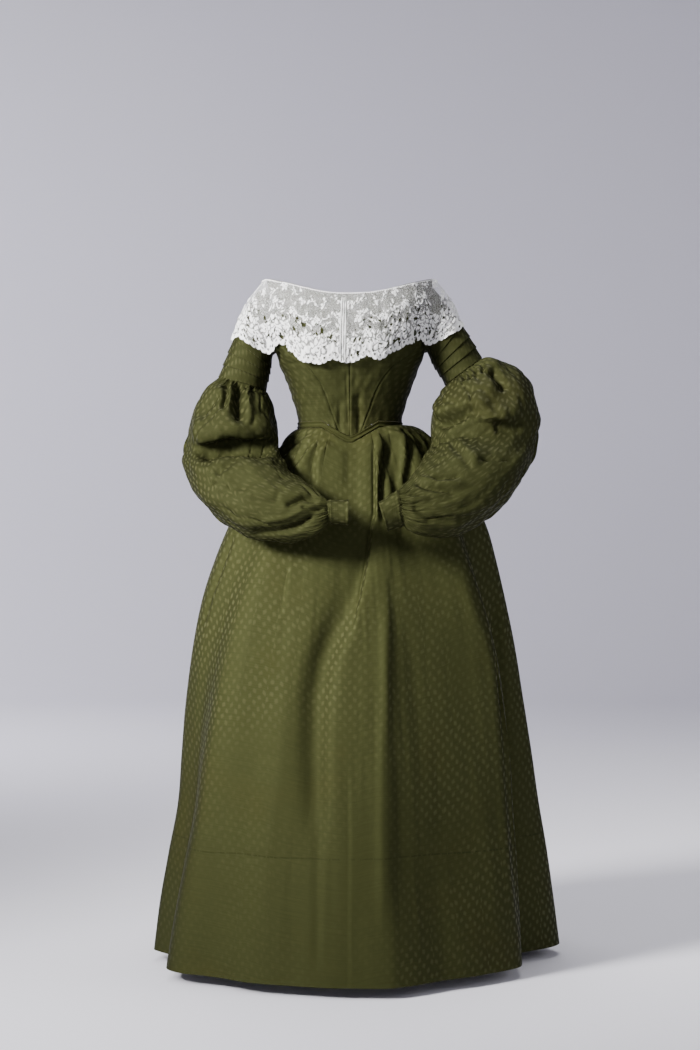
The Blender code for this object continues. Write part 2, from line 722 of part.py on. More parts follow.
# Points under a closed form given as columns, a wall's thickness in from it
def inner_points(columns, wall):
    count = len(columns)
    rows = len(columns[0])
    middles = [sum((column[row] for column in columns), Vector()) / count for row in range(rows)]
    result = []
    outward = 0.0
    for index, column in enumerate(columns):
        before = columns[index - 1]
        after = columns[(index + 1) % count]
        line = []
        for row in range(rows):
            around = after[row] - before[row]
            down = column[min(row + 1, rows - 1)] - column[max(row - 1, 0)]
            line.append(down.cross(around).normalized())
            outward += line[-1].dot(column[row] - middles[row])
        result.append(line)
    inward = -wall if outward > 0 else wall
    return [
        [point + normal * inward for point, normal in zip(column, line)]
        for column, line in zip(columns, result)
    ]


# Columns at the folds of each pleat, even ones over the plain front, from 0 right round
def column_angles():
    right = [mix(0.0, PLEAT_FIRST_ANGLE, step / FRONT_STEPS) for step in range(FRONT_STEPS)]
    for pleat in range(PLEATS_A_SIDE):
        right += [PLEAT_FIRST_ANGLE + (pleat + share) * PLEAT_PITCH for share in PLEAT_STEPS]
    left = [360.0 - angle for angle in reversed(right[1:])]
    return right + [180.0] + left


def pleat_column(pleat):
    column = FRONT_STEPS + len(PLEAT_STEPS) * abs(pleat)
    return column if pleat > 0 else -column


def make_skirt():
    outer = [skirt_column(angle) for angle in column_angles()]
    inner = inner_points(outer, CLOTH_WALL)
    for width in SKIRT_WIDTHS:
        picks = range(pleat_column(width.first_pleat), pleat_column(width.last_pleat) + 1)
        skins = []
        for columns in (outer, inner):
            rows = range(len(columns[0]))
            grid = [[columns[pick % len(columns)][row].copy() for pick in picks] for row in rows]
            skins.append(trim_edges(grid, ends=False))
        double_wall(width.name, skins[0], skins[1], OLIVE)


# Sleeves

def section_ring(section, columns, proud=0.0, gathers=0.0, pattern=0):
    middle = Vector((
        (section.inner_x + section.outer_x) / 2, section.middle_y,
        (section.inner_z + section.outer_z) / 2,
    ))
    half = Vector((section.outer_x, section.middle_y, section.outer_z)) - middle
    ring = []
    for column in range(columns):
        turn = 2 * math.pi * column / columns
        across = signed_power(math.cos(turn))
        along = signed_power(math.sin(turn))
        depth = section.front if along > 0 else section.back
        ripple = -gathers * (0.5 - 0.5 * math.cos(turn * pattern))
        grow = proud + ripple
        point = middle + half * across * (1 + grow / half.length)
        point.y -= along * (depth + grow)
        ring.append(point)
    return ring


def signed_power(value):
    return math.copysign(abs(value) ** (2 / SLEEVE_POWER), value)


def armhole_ring(side, columns):
    ring = []
    for column in range(columns):
        angle, height = armhole_place(360.0 * column / columns)
        ring.append(bodice_point(side * angle, height, ARMHOLE_RING_PROUD))
    return ring


def narrowed(ring, wall):
    middle = sum(ring, Vector()) / len(ring)
    return [point + (middle - point).normalized() * wall for point in ring]


# Along the arm, square to a section
def section_axis(section):
    across = Vector((section.outer_x - section.inner_x, 0.0, section.outer_z - section.inner_z))
    return across.cross(Vector((0.0, -math.copysign(1.0, section.outer_x), 0.0))).normalized()


# The fixed band below the shoulder: three tucks, each with its lower edge standing proud
def make_upper_sleeve(name, side):
    sections = UPPER_SLEEVES[name]
    outer = [armhole_ring(side, SLEEVE_COLUMNS)]
    inner = [narrowed(outer[0], CLOTH_WALL)]
    plain = [outer[0]]
    for index, section in enumerate(sections):
        tucked = index >= len(sections) - TUCK_SECTIONS
        outer.append(section_ring(section, SLEEVE_COLUMNS, TUCK_STEP if tucked else 0.0))
        inner.append(section_ring(section, SLEEVE_COLUMNS, -CLOTH_WALL))
        plain.append(section_ring(section, SLEEVE_COLUMNS, TUCK_STEP))
        if tucked and index < len(sections) - 1:
            turn = section_axis(section) * TUCK_TURN
            outer.append([point + turn for point in section_ring(section, SLEEVE_COLUMNS)])
            inner.append([point + turn for point in inner[-1]])
    double_wall("upper_sleeve_" + name, outer, inner, OLIVE, tube=True)
    return plain


# A sleeve that would lie inside the skirt is moved to the front, just clear of it
def clear_of_skirt(point):
    if point.z > SLEEVE_OVER_SKIRT_HEIGHT:
        return point
    depth = CLEAR_FIRST_DEPTH
    while depth < 0.0:
        radius = math.hypot(point.x, depth)
        angle = math.degrees(math.atan2(point.x, -depth))
        if radius < skirt_radius(angle, point.z) + SLEEVE_CLEARANCE:
            point.y = min(point.y, depth)
            return point
        depth += CLEAR_STEP
    return point


# A full puff, gathered into the band above and into the cuff below
def make_puff(name):
    sections = PUFFS[name]
    band_end = UPPER_SLEEVES[name][-1]
    cuff_start = CUFFS[name][0]
    down = section_axis(band_end)
    back = -section_axis(cuff_start)
    outer = []
    for step in (SEAM_GAP * 2, PUFF_NECK):
        outer.append([point + down * step for point in section_ring(band_end, PUFF_COLUMNS, TUCK_STEP)])
    for index, section in enumerate(sections):
        from_end = min(index, len(sections) - 1 - index)
        depth = PUFF_GATHER_DEPTH * max(0.0, 1 - PUFF_GATHER_FADE * from_end)
        outer.append(section_ring(section, PUFF_COLUMNS, 0.0, depth, PUFF_GATHERS))
    for step in (PUFF_NECK, SEAM_GAP * 2):
        outer.append([point + back * step for point in section_ring(cuff_start, PUFF_COLUMNS)])
    outer = [[clear_of_skirt(point) for point in ring] for ring in outer]
    columns = inner_points([list(column) for column in zip(*outer)], CLOTH_WALL)
    inner = [list(row) for row in zip(*columns)]
    shift = down * SEAM_GAP * 2
    inner[0] = [point + shift for point in section_ring(band_end, PUFF_COLUMNS, TUCK_STEP - CLOTH_WALL)]
    shift = back * SEAM_GAP * 2
    inner[-1] = [point + shift for point in section_ring(cuff_start, PUFF_COLUMNS, -CLOTH_WALL)]
    double_wall("sleeve_puff_" + name, outer, inner, OLIVE, tube=True)


def make_cuff(name):
    outer = [section_ring(section, SLEEVE_COLUMNS) for section in CUFFS[name]]
    inner = [section_ring(section, SLEEVE_COLUMNS, -CUFF_WALL) for section in CUFFS[name]]
    double_wall("cuff_" + name, outer, inner, OLIVE_DARK, tube=True)


# Lace bertha, hung from the neck edge over the bodice and the sleeve heads

def under_surface(panels, tubes):
    shape = bmesh.new()
    for grid in panels:
        grid_faces(shape, grid)
    for grid in tubes:
        grid_faces(shape, grid, closed=True)
    tree = BVHTree.FromBMesh(shape)
    shape.free()
    return tree


def lift_clear(point, surface):
    for _ in range(4):
        nearest, normal, _, _ = surface.find_nearest(point)
        height = (point - nearest).dot(normal)
        if height >= LACE_CLEARANCE:
            return point
        point = point + normal * (LACE_CLEARANCE - height + LACE_LIFT_EXTRA)
    return point


def lace_point(name, side, angle, share, surface):
    edges = LACE_EDGES[name]
    low = Vector([read_table(edges, "angle", axis, angle) for axis in "xyz"])
    wave = abs(math.sin(math.radians(angle) * LACE_SCALLOPS))
    low.z += LACE_SCALLOP * (1 - wave) * ease((share - LACE_SCALLOP_SHARE) / (1 - LACE_SCALLOP_SHARE))
    top = bodice_point(side * angle, neck_height(angle) - LACE_TOP_DROP, LACE_CLEARANCE)
    outward = Vector((top.x, top.y, 0.0)).normalized()
    point = top.lerp(low, share) + outward * LACE_BULGE * math.sin(math.pi * share)
    return lift_clear(point, surface)


def make_lace(surface):
    for name, side in (("left", -1), ("right", 1)):
        for piece in LACE_PIECES:
            grid = []
            for row in range(LACE_ROWS + 1):
                line = []
                for column in range(piece.columns + 1):
                    angle = mix(piece.first_angle, piece.last_angle, column / piece.columns)
                    line.append(lace_point(name, side, angle, row / LACE_ROWS, surface))
                grid.append(line)
            holes = {(LACE_HOLE_ROW, column) for column in range(1, piece.columns - 1, 2)}
            cloth_wall(
                "lace_" + piece.name + "_" + name, trim_edges(grid, ends=False),
                IVORY, LACE_WALL, roughness=LACE_ROUGHNESS, holes=holes,
            )


def main():
    clear_scene()
    panels = make_bodice()
    make_band()
    make_skirt()
    tubes = []
    for name, side in (("left", -1), ("right", 1)):
        tubes.append(make_upper_sleeve(name, side))
        make_puff(name)
        make_cuff(name)
    make_lace(under_surface(panels, tubes))


main()
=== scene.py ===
import math

import bpy
import numpy as np
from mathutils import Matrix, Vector
from mathutils.bvhtree import BVHTree


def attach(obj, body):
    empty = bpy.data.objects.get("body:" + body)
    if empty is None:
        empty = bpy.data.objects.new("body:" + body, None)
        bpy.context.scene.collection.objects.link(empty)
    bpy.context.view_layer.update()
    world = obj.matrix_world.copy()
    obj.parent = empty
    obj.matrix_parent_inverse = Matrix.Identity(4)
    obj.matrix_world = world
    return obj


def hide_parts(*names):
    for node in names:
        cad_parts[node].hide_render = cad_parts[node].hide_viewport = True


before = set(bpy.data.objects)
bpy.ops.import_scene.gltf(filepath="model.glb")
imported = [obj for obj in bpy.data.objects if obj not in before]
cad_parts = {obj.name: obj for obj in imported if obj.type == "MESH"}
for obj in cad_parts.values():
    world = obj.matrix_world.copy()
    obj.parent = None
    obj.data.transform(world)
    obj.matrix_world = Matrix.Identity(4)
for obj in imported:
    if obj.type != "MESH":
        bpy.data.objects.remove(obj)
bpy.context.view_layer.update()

# Day dress of figured olive silk with a white lace bertha.
# Angles run round the waist in degrees: 0 centre front, 90 viewer's right, 180 centre back.
# Single sizes are in metres. Tables of rows, edges and fold lines are in millimetres.
# Fold lines are given as the dress is seen from the front, across and up.

# Small tools


def metres(table, units=1000):  # a table in millimetres turned into metres
    return np.array(table, float) / units


def camel(node):  # a node's name as a piece's name
    return "".join(word.title() if index else word for index, word in enumerate(node.split("_")))


def placed(name, data):
    item = bpy.data.objects.new(name, data)
    bpy.context.scene.collection.objects.link(item)
    return item


def declare(piece, nodes, slot, **cut):  # what a piece stands for, and the cut of its cloth, which is not used
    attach(piece, "root")
    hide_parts(*nodes)


def ease(share):
    share = np.clip(share, 0.0, 1.0)
    return share * share * (3 - 2 * share)


def mix(first, last, share):
    return first + (last - first) * share


def hermite(first, last, leaving, arriving, share):
    square = share * share
    cube = square * share
    return (
        first * (2 * cube - 3 * square + 1)
        + leaving * (cube - 2 * square + share)
        + last * (3 * square - 2 * cube)
        + arriving * (cube - square)
    )


def curveThrough(keys, values, wanted):  # smooth curve through a table's points
    keys = np.asarray(keys, float)
    values = np.asarray(values, float)
    order = np.argsort(keys)
    keys, values = keys[order], values[order]
    slopes = np.empty_like(values)
    slopes[1:-1] = (values[2:] - values[:-2]) / (keys[2:] - keys[:-2])
    slopes[0] = (values[1] - values[0]) / (keys[1] - keys[0])
    slopes[-1] = (values[-1] - values[-2]) / (keys[-1] - keys[-2])
    wanted = np.clip(wanted, keys[0], keys[-1])
    index = np.clip(np.searchsorted(keys, wanted, side="right") - 1, 0, len(keys) - 2)
    span = keys[index + 1] - keys[index]
    share = (wanted - keys[index]) / span
    return hermite(values[index], values[index + 1], slopes[index] * span, slopes[index + 1] * span, share)


def throughRows(grid, wanted):  # the same along the first side of a grid
    last = len(grid) - 1
    index = np.clip(np.floor(wanted).astype(int), 0, last - 1)
    share = (wanted - index).reshape([-1] + [1] * (grid.ndim - 1))
    slopes = np.gradient(grid, axis=0)
    return hermite(grid[index], grid[index + 1], slopes[index], slopes[index + 1], share)


def softNoise(across, along, seed):  # gentle unevenness from about -1 to 1, repeats after 64
    lattice = np.random.default_rng(seed).uniform(-1, 1, (64, 64))
    i, j = np.floor(across).astype(int), np.floor(along).astype(int)
    x, y = ease(across - i), ease(along - j)
    low = mix(lattice[i % 64, j % 64], lattice[(i + 1) % 64, j % 64], x)
    high = mix(lattice[i % 64, (j + 1) % 64], lattice[(i + 1) % 64, (j + 1) % 64], x)
    return mix(low, high, y)


def wrapAngle(angle):
    return (np.asarray(angle, float) + 180.0) % 360.0 - 180.0


def ovalRadius(angle, halfWidth, halfDepth, power):
    across = np.abs(np.sin(np.radians(angle))) / halfWidth
    along = np.abs(np.cos(np.radians(angle))) / halfDepth
    return (across ** power + along ** power) ** (-1 / power)


def aroundPoint(angle, radius, height):
    turn = np.radians(angle)
    return np.stack(np.broadcast_arrays(radius * np.sin(turn), -radius * np.cos(turn), height), axis=-1)


def gridNormals(grid, closed=False):  # outward normals of a grid of points
    if closed:
        around = np.roll(grid, -1, axis=1) - np.roll(grid, 1, axis=1)
    else:
        around = np.gradient(grid, axis=1)
    down = np.gradient(grid, axis=0)
    normals = np.cross(down, around)
    normals /= np.linalg.norm(normals, axis=-1, keepdims=True) + 1e-12
    middle = grid.mean(axis=1, keepdims=True) if closed else grid * (0, 0, 1)
    return normals if (normals * (grid - middle)).sum() > 0 else -normals


def lineDistance(x, z, path):  # distance from a line, which side of it, and how far along it
    best = np.full(x.shape, 1e9)
    side = np.zeros(x.shape)
    along = np.zeros(x.shape)
    lengths = [math.dist(a, b) for a, b in zip(path, path[1:])]
    total = sum(lengths)
    start = 0.0
    for (ax, az), (bx, bz), length in zip(path, path[1:], lengths):
        dx, dz = (bx - ax) / length, (bz - az) / length
        run = np.clip((x - ax) * dx + (z - az) * dz, 0, length)
        away = np.hypot(x - ax - run * dx, z - az - run * dz)
        closer = away < best
        best = np.where(closer, away, best)
        side = np.where(closer, dx * (z - az) - dz * (x - ax), side)
        along = np.where(closer, (start + run) / total, along)
        start += length
    return best, np.sign(side), along


# Each fold line is (kind, height, width, reach, path). A lap is raised on its left going along the
# path, and falls off over its reach.
def foldRelief(grid, normals, lines):
    x, z = grid[..., 0] * 1000, grid[..., 2] * 1000
    facing = ease(-normals[..., 1] / 0.3)
    relief = np.zeros(x.shape)
    for kind, height, width, reach, path in lines:
        pad = 3 * width + 2.5 * reach
        xs, zs = [p[0] for p in path], [p[1] for p in path]
        near = (x > min(xs) - pad) & (x < max(xs) + pad) & (z > min(zs) - pad) & (z < max(zs) + pad)
        near &= facing > 0
        if not near.any():
            continue
        away, side, along = lineDistance(x[near], z[near], path)
        fade = ease(along / 0.15) * ease((1 - along) / 0.25)
        if kind == "lap":
            signed = away * side
            rise = (0.5 + 0.5 * np.tanh(signed / width)) * np.exp(-np.maximum(signed, 0) / reach)
            rise -= 0.3 * np.exp(-((signed + 1.6 * width) / (1.6 * width)) ** 2)
        else:
            rise = np.exp(-(away / width) ** 2) * (1 if kind == "ridge" else -1)
        relief[near] += rise * fade * height / 1000
    return relief * facing


def clothPiece(name, grid, uv, material, closed=False, wall=0.0, lining=None, attributes=None):
    rows, columns = grid.shape[:2]
    index = np.arange(rows * columns).reshape(rows, columns)
    if closed:
        index = np.concatenate([index, index[:, :1]], axis=1)
    corners = [(slice(None, -1), slice(None, -1)), (slice(None, -1), slice(1, None)),
               (slice(1, None), slice(1, None)), (slice(1, None), slice(None, -1))]
    quads = np.stack([index[c] for c in corners], axis=-1).reshape(-1, 4)
    left, right = uv if isinstance(uv, tuple) else (uv, uv)
    sides = (left, right, right, left)
    places = np.stack([side[c] for side, c in zip(sides, corners)], axis=2).reshape(-1, 4, 2)
    points = grid.reshape(-1, 3)
    first, second, third = points[quads[:, 0]], points[quads[:, 1]], points[quads[:, 3]]
    middle = grid.mean(axis=1)[np.repeat(np.arange(rows - 1), index.shape[1] - 1)]
    if not closed:
        middle = first * (0, 0, 1)
    if (np.cross(second - first, third - first) * (first - middle)).sum() < 0:
        quads, places = quads[:, ::-1], places[:, ::-1]
    mesh = bpy.data.meshes.new(name)
    mesh.from_pydata(points.tolist(), [], quads.tolist())
    layer = mesh.uv_layers.new(name="cloth")
    layer.data.foreach_set("uv", places.astype(np.float32).ravel())
    for key, values in (attributes or {}).items():
        attribute = mesh.attributes.new(key, "FLOAT", "POINT")
        attribute.data.foreach_set("value", values.astype(np.float32).ravel())
    mesh.materials.append(material)
    mesh.shade_smooth()
    piece = placed(name, mesh)
    if wall:
        solid = piece.modifiers.new("wall", "SOLIDIFY")
        solid.thickness = wall
        solid.offset = -1.0
        if lining:
            mesh.materials.append(lining)
            solid.material_offset = 1
        bpy.ops.object.select_all(action="DESELECT")
        bpy.context.view_layer.objects.active = piece
        piece.select_set(True)
        bpy.ops.object.modifier_apply(modifier=solid.name)
        mesh.set_sharp_from_angle(angle=math.radians(50))
    return piece


# Materials


class Value:  # a number in a material, so that sums are written with plain signs
    def __init__(self, nodes, socket):
        self.nodes, self.socket = nodes, socket

    def __add__(self, other):
        return self.nodes.math("ADD", self, other)

    def __sub__(self, other):
        return self.nodes.math("SUBTRACT", self, other)

    def __mul__(self, other):
        return self.nodes.math("MULTIPLY", self, other)

    def __truediv__(self, other):
        return self.nodes.math("DIVIDE", self, other)

    def __abs__(self):
        return self.nodes.math("ABSOLUTE", self)


class Nodes:  # short calls for building a node tree
    def __init__(self, tree):
        self.tree = tree

    def put(self, value, socket):
        if isinstance(value, Value):
            value = value.socket
        if isinstance(value, bpy.types.NodeSocket):
            self.tree.links.new(value, socket)
        else:
            socket.default_value = value

    def fill(self, node, sockets):
        for key, value in sockets.items():
            self.put(value, node.inputs[key])

    def add(self, kind, sockets=None, **settings):
        node = self.tree.nodes.new("ShaderNode" + kind)
        for key, value in settings.items():
            setattr(node, key, value)
        self.fill(node, sockets or {})
        return node

    def math(self, kind, *values):
        return Value(self, self.add("Math", dict(enumerate(values)), operation=kind).outputs[0])

    def parts(self, kind, key, source):  # the separate numbers of a place or a colour
        return [Value(self, socket) for socket in self.add(kind, {key: source}).outputs]

    def blend(self, share, first, last, how="MIX"):
        node = self.add("Mix", data_type="RGBA", blend_type=how)
        self.fill(node, {0: share, 6: first, 7: last})
        return node.outputs[2]

    def shaded(self, colour, grey):  # a colour made darker by a mask
        tone = self.add("CombineColor", {"Red": grey, "Green": grey, "Blue": grey})
        return self.blend(1.0, colour, tone.outputs[0], "MULTIPLY")

    def range(self, value, low, high, newLow=0.0, newHigh=1.0, how="SMOOTHSTEP"):
        sockets = {"Value": value, "From Min": low, "From Max": high, "To Min": newLow, "To Max": newHigh}
        return Value(self, self.add("MapRange", sockets, interpolation_type=how).outputs[0])

    def noise(self, vector, scale, detail=2.0, stretch=None):
        if stretch:
            vector = self.add("Mapping", {"Vector": vector, "Scale": stretch}).outputs[0]
        node = self.add("TexNoise", {"Vector": vector, "Scale": scale, "Detail": detail})
        return Value(self, node.outputs["Fac"])

    def bump(self, height, strength, distance):
        return self.add("Bump", {"Strength": strength, "Distance": distance, "Height": height})


def newMaterial(name):
    material = bpy.data.materials.new(name)
    material.use_nodes = True
    return material, Nodes(material.node_tree), material.node_tree.nodes["Principled BSDF"]


weave = dict(
    across=0.0185, along=0.022, spotWidth=0.0039, spotHeight=0.0053, tilt=0.42, sway=0.006, swayScale=40.0,
    rib=0.0012, slub=(14.0, 460.0, 1.0), roundness=1.3, edge=(1.5, 0.25),
)


def makeWeave():  # half-drop satin lozenges on a fine ribbed ground
    tree = bpy.data.node_groups.new("lozengeWeave", "ShaderNodeTree")
    tree.interface.new_socket("Cloth", in_out="INPUT", socket_type="NodeSocketVector")
    for key in ("Spot", "Relief", "Slub"):
        tree.interface.new_socket(key, in_out="OUTPUT", socket_type="NodeSocketFloat")
    nodes = Nodes(tree)
    cloth = tree.nodes.new("NodeGroupInput").outputs["Cloth"]
    across, along, _ = nodes.parts("SeparateXYZ", "Vector", cloth)
    sway = nodes.add("TexNoise", {"Vector": cloth, "Scale": weave["swayScale"], "Detail": 1.0})
    red, green, _ = nodes.parts("SeparateColor", "Color", sway.outputs["Color"])
    u = across + (red - 0.5) * weave["sway"]
    v = along + (green - 0.5) * weave["sway"]
    spots = []
    for shift, tilt in ((0.0, weave["tilt"]), (0.5, -weave["tilt"])):
        x, y = [
            (nodes.math("FRACT", place / pitch + shift) - 0.5) * pitch
            for place, pitch in ((u, weave["across"]), (v, weave["along"]))
        ]
        cos, sin = math.cos(tilt), math.sin(tilt)
        wide = nodes.math("POWER", abs(x * cos + y * sin) / weave["spotWidth"], weave["roundness"])
        tall = nodes.math("POWER", abs(y * cos - x * sin) / weave["spotHeight"], weave["roundness"])
        spots.append(nodes.range(wide + tall, *weave["edge"]))
    spot = nodes.math("MAXIMUM", *spots)
    rib = nodes.math("SINE", along * (2 * math.pi / weave["rib"]))
    slub = nodes.noise(cloth, 1.0, 3.0, weave["slub"])
    relief = spot * 0.3 + rib * 0.10 + slub * 0.5
    nodes.fill(tree.nodes.new("NodeGroupOutput"), {"Spot": spot, "Relief": relief, "Slub": slub})
    return tree


weaveGroup = makeWeave()

finish = dict(
    patch=0.34, turned=0.75, least=0.06,  # how strongly the spots show
    roughness=(0.62, 0.50), shine=(0.03, 0.16), tint=(0.95, 1.0, 0.55, 1.0),  # ground, then spots
    warm=(1.12, 0.98, 0.85), stain=0.35, turnedShade=(0.10, 0.85, 1.0, 0.50),
)
# where the figure is painted faint to stand for how the light falls on its satin, how high its facing is
# stitched, and how far the painted shade darkens it towards the hem
hemStitchAndPaintedLight = dict(
    right=(0.03, 0.10), low=(-0.80, -0.35, 0.25, 1.0), facing=0.763, waver=0.012, stitch=(0.0022, 0.0006),
    stitchTone=0.76, hemShade=(-0.95, -0.40, 0.84, 1.0),
)


def makeSilk(name, ground, satin, spotStrength, relief, crumple, worn=False):
    material, nodes, shader = newMaterial(name)
    cloth = nodes.add("UVMap", uv_map="cloth").outputs[0]
    group = nodes.add("Group", {"Cloth": cloth}, node_tree=weaveGroup)
    spot, height, slub = [Value(nodes, group.outputs[key]) for key in ("Spot", "Relief", "Slub")]
    place = nodes.add("TexCoord").outputs["Object"]
    toRight, _, up = nodes.parts("SeparateXYZ", "Vector", place)
    patch = nodes.range(nodes.noise(place, 9.0, 3.0), 0.35, 0.65)  # spots show more in some places
    turned = Value(nodes, nodes.add("LayerWeight", {"Blend": 0.5}).outputs["Facing"])
    # painted sheen: the lighter satin spots grow stronger where the cloth turns away from the view
    shows = (patch * finish["patch"] + turned * finish["turned"] + finish["least"]) * spotStrength
    if worn:  # painted sheen: the figure is made faint low down, except on the right, where the light makes the satin look like the ground
        side, high = nodes.range(toRight, *hemStitchAndPaintedLight["right"]), nodes.range(up, *hemStitchAndPaintedLight["low"])
        shows = shows * nodes.math("MAXIMUM", side, high)
    strength = nodes.math("MINIMUM", spot * shows, 1.0)
    warm = tuple(c * k for c, k in zip(ground, finish["warm"]))
    stain = nodes.range(nodes.noise(place, 5.0, 4.0), 0.52, 0.72) * finish["stain"]
    paintedTurnShade = nodes.range(turned, *finish["turnedShade"])  # painted shade: the ground goes dark where it turns away from the view
    plain = nodes.shaded(nodes.blend(stain, (*ground, 1.0), (*warm, 1.0)), paintedTurnShade)
    tone = slub * 0.44 + 0.78
    if worn:  # stitches of the hem facing
        level = up + nodes.noise(place, 6.0) * hemStitchAndPaintedLight["waver"]
        stitched = nodes.range(abs(level + hemStitchAndPaintedLight["facing"]), *hemStitchAndPaintedLight["stitch"])
        gap = nodes.range(nodes.noise(cloth, 1.0, 1.0, (160.0, 10.0, 1.0)), 0.38, 0.5)
        tone = tone * nodes.range(stitched * gap, 0.0, 1.0, 1.0, hemStitchAndPaintedLight["stitchTone"])
        # painted shade: the silk is darker towards the hem, where the key light falls off
        tone = tone * nodes.range(up, *hemStitchAndPaintedLight["hemShade"])
    fine = nodes.bump(height, 0.6 * relief, 0.0004)
    soft = nodes.bump(nodes.noise(place, 26.0, 3.0), 0.35 * crumple, 0.004)
    nodes.put(fine.outputs[0], soft.inputs["Normal"])
    nodes.fill(shader, {
        "Base Color": nodes.shaded(nodes.blend(strength, plain, (*satin, 1.0)), tone),
        "Roughness": nodes.range(strength, 0.0, 1.0, *finish["roughness"], "LINEAR"),
        "Specular IOR Level": nodes.range(strength, 0.0, 1.0, *finish["shine"], "LINEAR"),
        "Specular Tint": finish["tint"],
        "Normal": soft.outputs[0],
    })
    return material


def makePlain(name, colour, roughness, scale, strength):  # plain cloth with a little unevenness
    material, nodes, shader = newMaterial(name)
    noise = nodes.noise(nodes.add("TexCoord").outputs["Object"], scale, 3.0)
    dark = tuple(c * 0.82 for c in colour)
    nodes.fill(shader, {
        "Base Color": nodes.blend(noise, (*dark, 1.0), (*colour, 1.0)),
        "Roughness": roughness,
        "Normal": nodes.bump(noise, strength, 0.001).outputs[0],
    })
    return material


thread = dict(mesh=760.0, width=(0.068, 0.032), dark=(0.78, 0.78, 0.76, 1.0), light=(0.93, 0.93, 0.92, 1.0))


def makeLaceCloth():  # net where the clothwork is thin, solid where it is thick, open below that
    material, nodes, shader = newMaterial("laceThread")
    cloth = nodes.add("UVMap", uv_map="cloth").outputs[0]
    clothwork = nodes.add("Attribute", attribute_name="clothwork").outputs["Fac"]
    net = nodes.add("TexVoronoi", {"Vector": cloth, "Scale": thread["mesh"]}, feature="DISTANCE_TO_EDGE")
    netAlpha = nodes.range(net.outputs["Distance"], *thread["width"]) * 0.8 + 0.04
    alpha = nodes.math("MAXIMUM", netAlpha, nodes.range(clothwork, 0.58, 0.74))
    grain = nodes.noise(cloth, 900.0, 2.0)
    ribs = nodes.noise(cloth, 1.0, 2.0, (700.0, 90.0, 1.0))
    nodes.fill(shader, {
        "Alpha": alpha * nodes.range(clothwork, 0.20, 0.32),
        "Base Color": nodes.blend(grain, thread["dark"], thread["light"]),
        "Roughness": 0.85,
        "Normal": nodes.bump(ribs + grain * 0.8, 0.8, 0.0006).outputs[0],
    })
    return material


olive = (0.0345, 0.0375, 0.0128)
# the satin figure's colour, lighter than its ground: partly the figure's own colour, partly painted sheen
satin = (0.074, 0.074, 0.032)
skirtSilk = makeSilk("skirtSilk", olive, satin, 0.75, 0.8, 0.5, worn=True)
# painted shade: the bodice and sleeves are cut from the skirt's silk, and their darker ground colours stand
# for the shade they are in
bodiceSilk = makeSilk("bodiceSilk", (0.0285, 0.0310, 0.0108), satin, 0.38, 0.8, 2.0)
sleeveSilk = makeSilk("sleeveSilk", (0.0270, 0.0293, 0.0102), (0.064, 0.064, 0.027), 0.68, 1.0, 1.6)
bandSilk = makeSilk("bandSilk", (0.0290, 0.0315, 0.0105), (0.046, 0.047, 0.017), 0.2, 0.8, 1.0)
cottonLining = makePlain("cottonLining", (0.46, 0.42, 0.33), 0.9, 220.0, 0.3)
laceThread = makeLaceCloth()
print("materials made")

# Bodice

seam = dict(side=-0.004, drop=0.031, pointAngle=35.0, round=4.0)
neck = dict(front=0.245, side=0.280, back=0.262)
band = dict(height=0.012, gap=0.0003, proud=0.0014, wall=0.0024, rows=9, columns=360)
bodice = dict(
    wall=0.0014,
    # height, half width, front, back, fullness of the corners
    rows=[
        (-60, 102.0, 94, 86, 2.2), (0, 98.5, 81, 78, 2.2), (35, 104.0, 86, 80, 2.25),
        (70, 115.5, 96, 84, 2.3), (100, 126.5, 107, 87, 2.4), (130, 137.5, 115, 89, 2.5),
        (160, 144.0, 116, 90, 2.6), (210, 151.0, 105, 88, 2.8), (250, 155.5, 92, 85, 2.8),
        (290, 158.0, 84, 80, 2.8),
    ],
    rowUnits=(1000, 1000, 1000, 1000, 1),
    dart=[(20, 33), (46, 42), (70, 52), (93, 67), (112, 85), (137, 118)],  # height, then across
    dartFoot=15.0, sideSeam=95.0, dartEnd=126.0, meanRadius=0.12,
    armhole=dict(height=0.203, halfHeight=0.062, halfDepth=0.054),
    columns=48, dartSteps=40, armholeFrontSteps=26, armholeBackSteps=36,
    seamRoll=0.0014, seamRollWidth=0.0016, seamTurning=0.0004, seamTurningWidth=0.006,
    unevenness=(0.0010, 0.0009, 0.0006),  # puckers, wrinkles across, and puckers near the waist
    # width and length of the silk each panel is cut from, then the panel's own area
    cut=dict(front_centre=(0.20, 0.30, 0.0303), front_side=(0.13, 0.17, 0.0176), back=(0.24, 0.30, 0.0429)),
    folds=[
        ("hollow", 1.5, 2.5, 0, [(-7, 104), (-5, 46), (-2, -28)]),
        ("hollow", 3.4, 5, 0, [(-19, 48), (-19, 10), (-19, -22)]),
        ("hollow", 4.4, 6, 0, [(15, 61), (17, 19), (17, -22)]),
        ("ridge", 1.8, 5, 0, [(-2, 97), (1, -28)]),
        ("hollow", 0.8, 2, 0, [(-93, 79), (-58, 2)]),
        ("hollow", 2.0, 2, 0, [(-118, 115), (-100, 114), (-83, 114)]),
        ("hollow", 2.0, 2, 0, [(-106, 104), (-95, 105), (-82, 108)]),
        ("hollow", 1.4, 3, 0, [(-56, 10), (-43, -5), (-23, -20)]),
        ("ridge", 1.4, 3, 0, [(-47, 13), (-37, -5), (-16, -23)]),
    ],
)


def bodicePoint(angle, height, proud=0.0):
    turn = wrapAngle(angle)
    heights, *columns = metres(bodice["rows"], bodice["rowUnits"]).T
    width, front, back, power = [curveThrough(heights, column, height) for column in columns]
    radius = ovalRadius(turn, width, np.where(np.abs(turn) <= 90, front, back), power)
    return aroundPoint(turn, radius + proud, height)


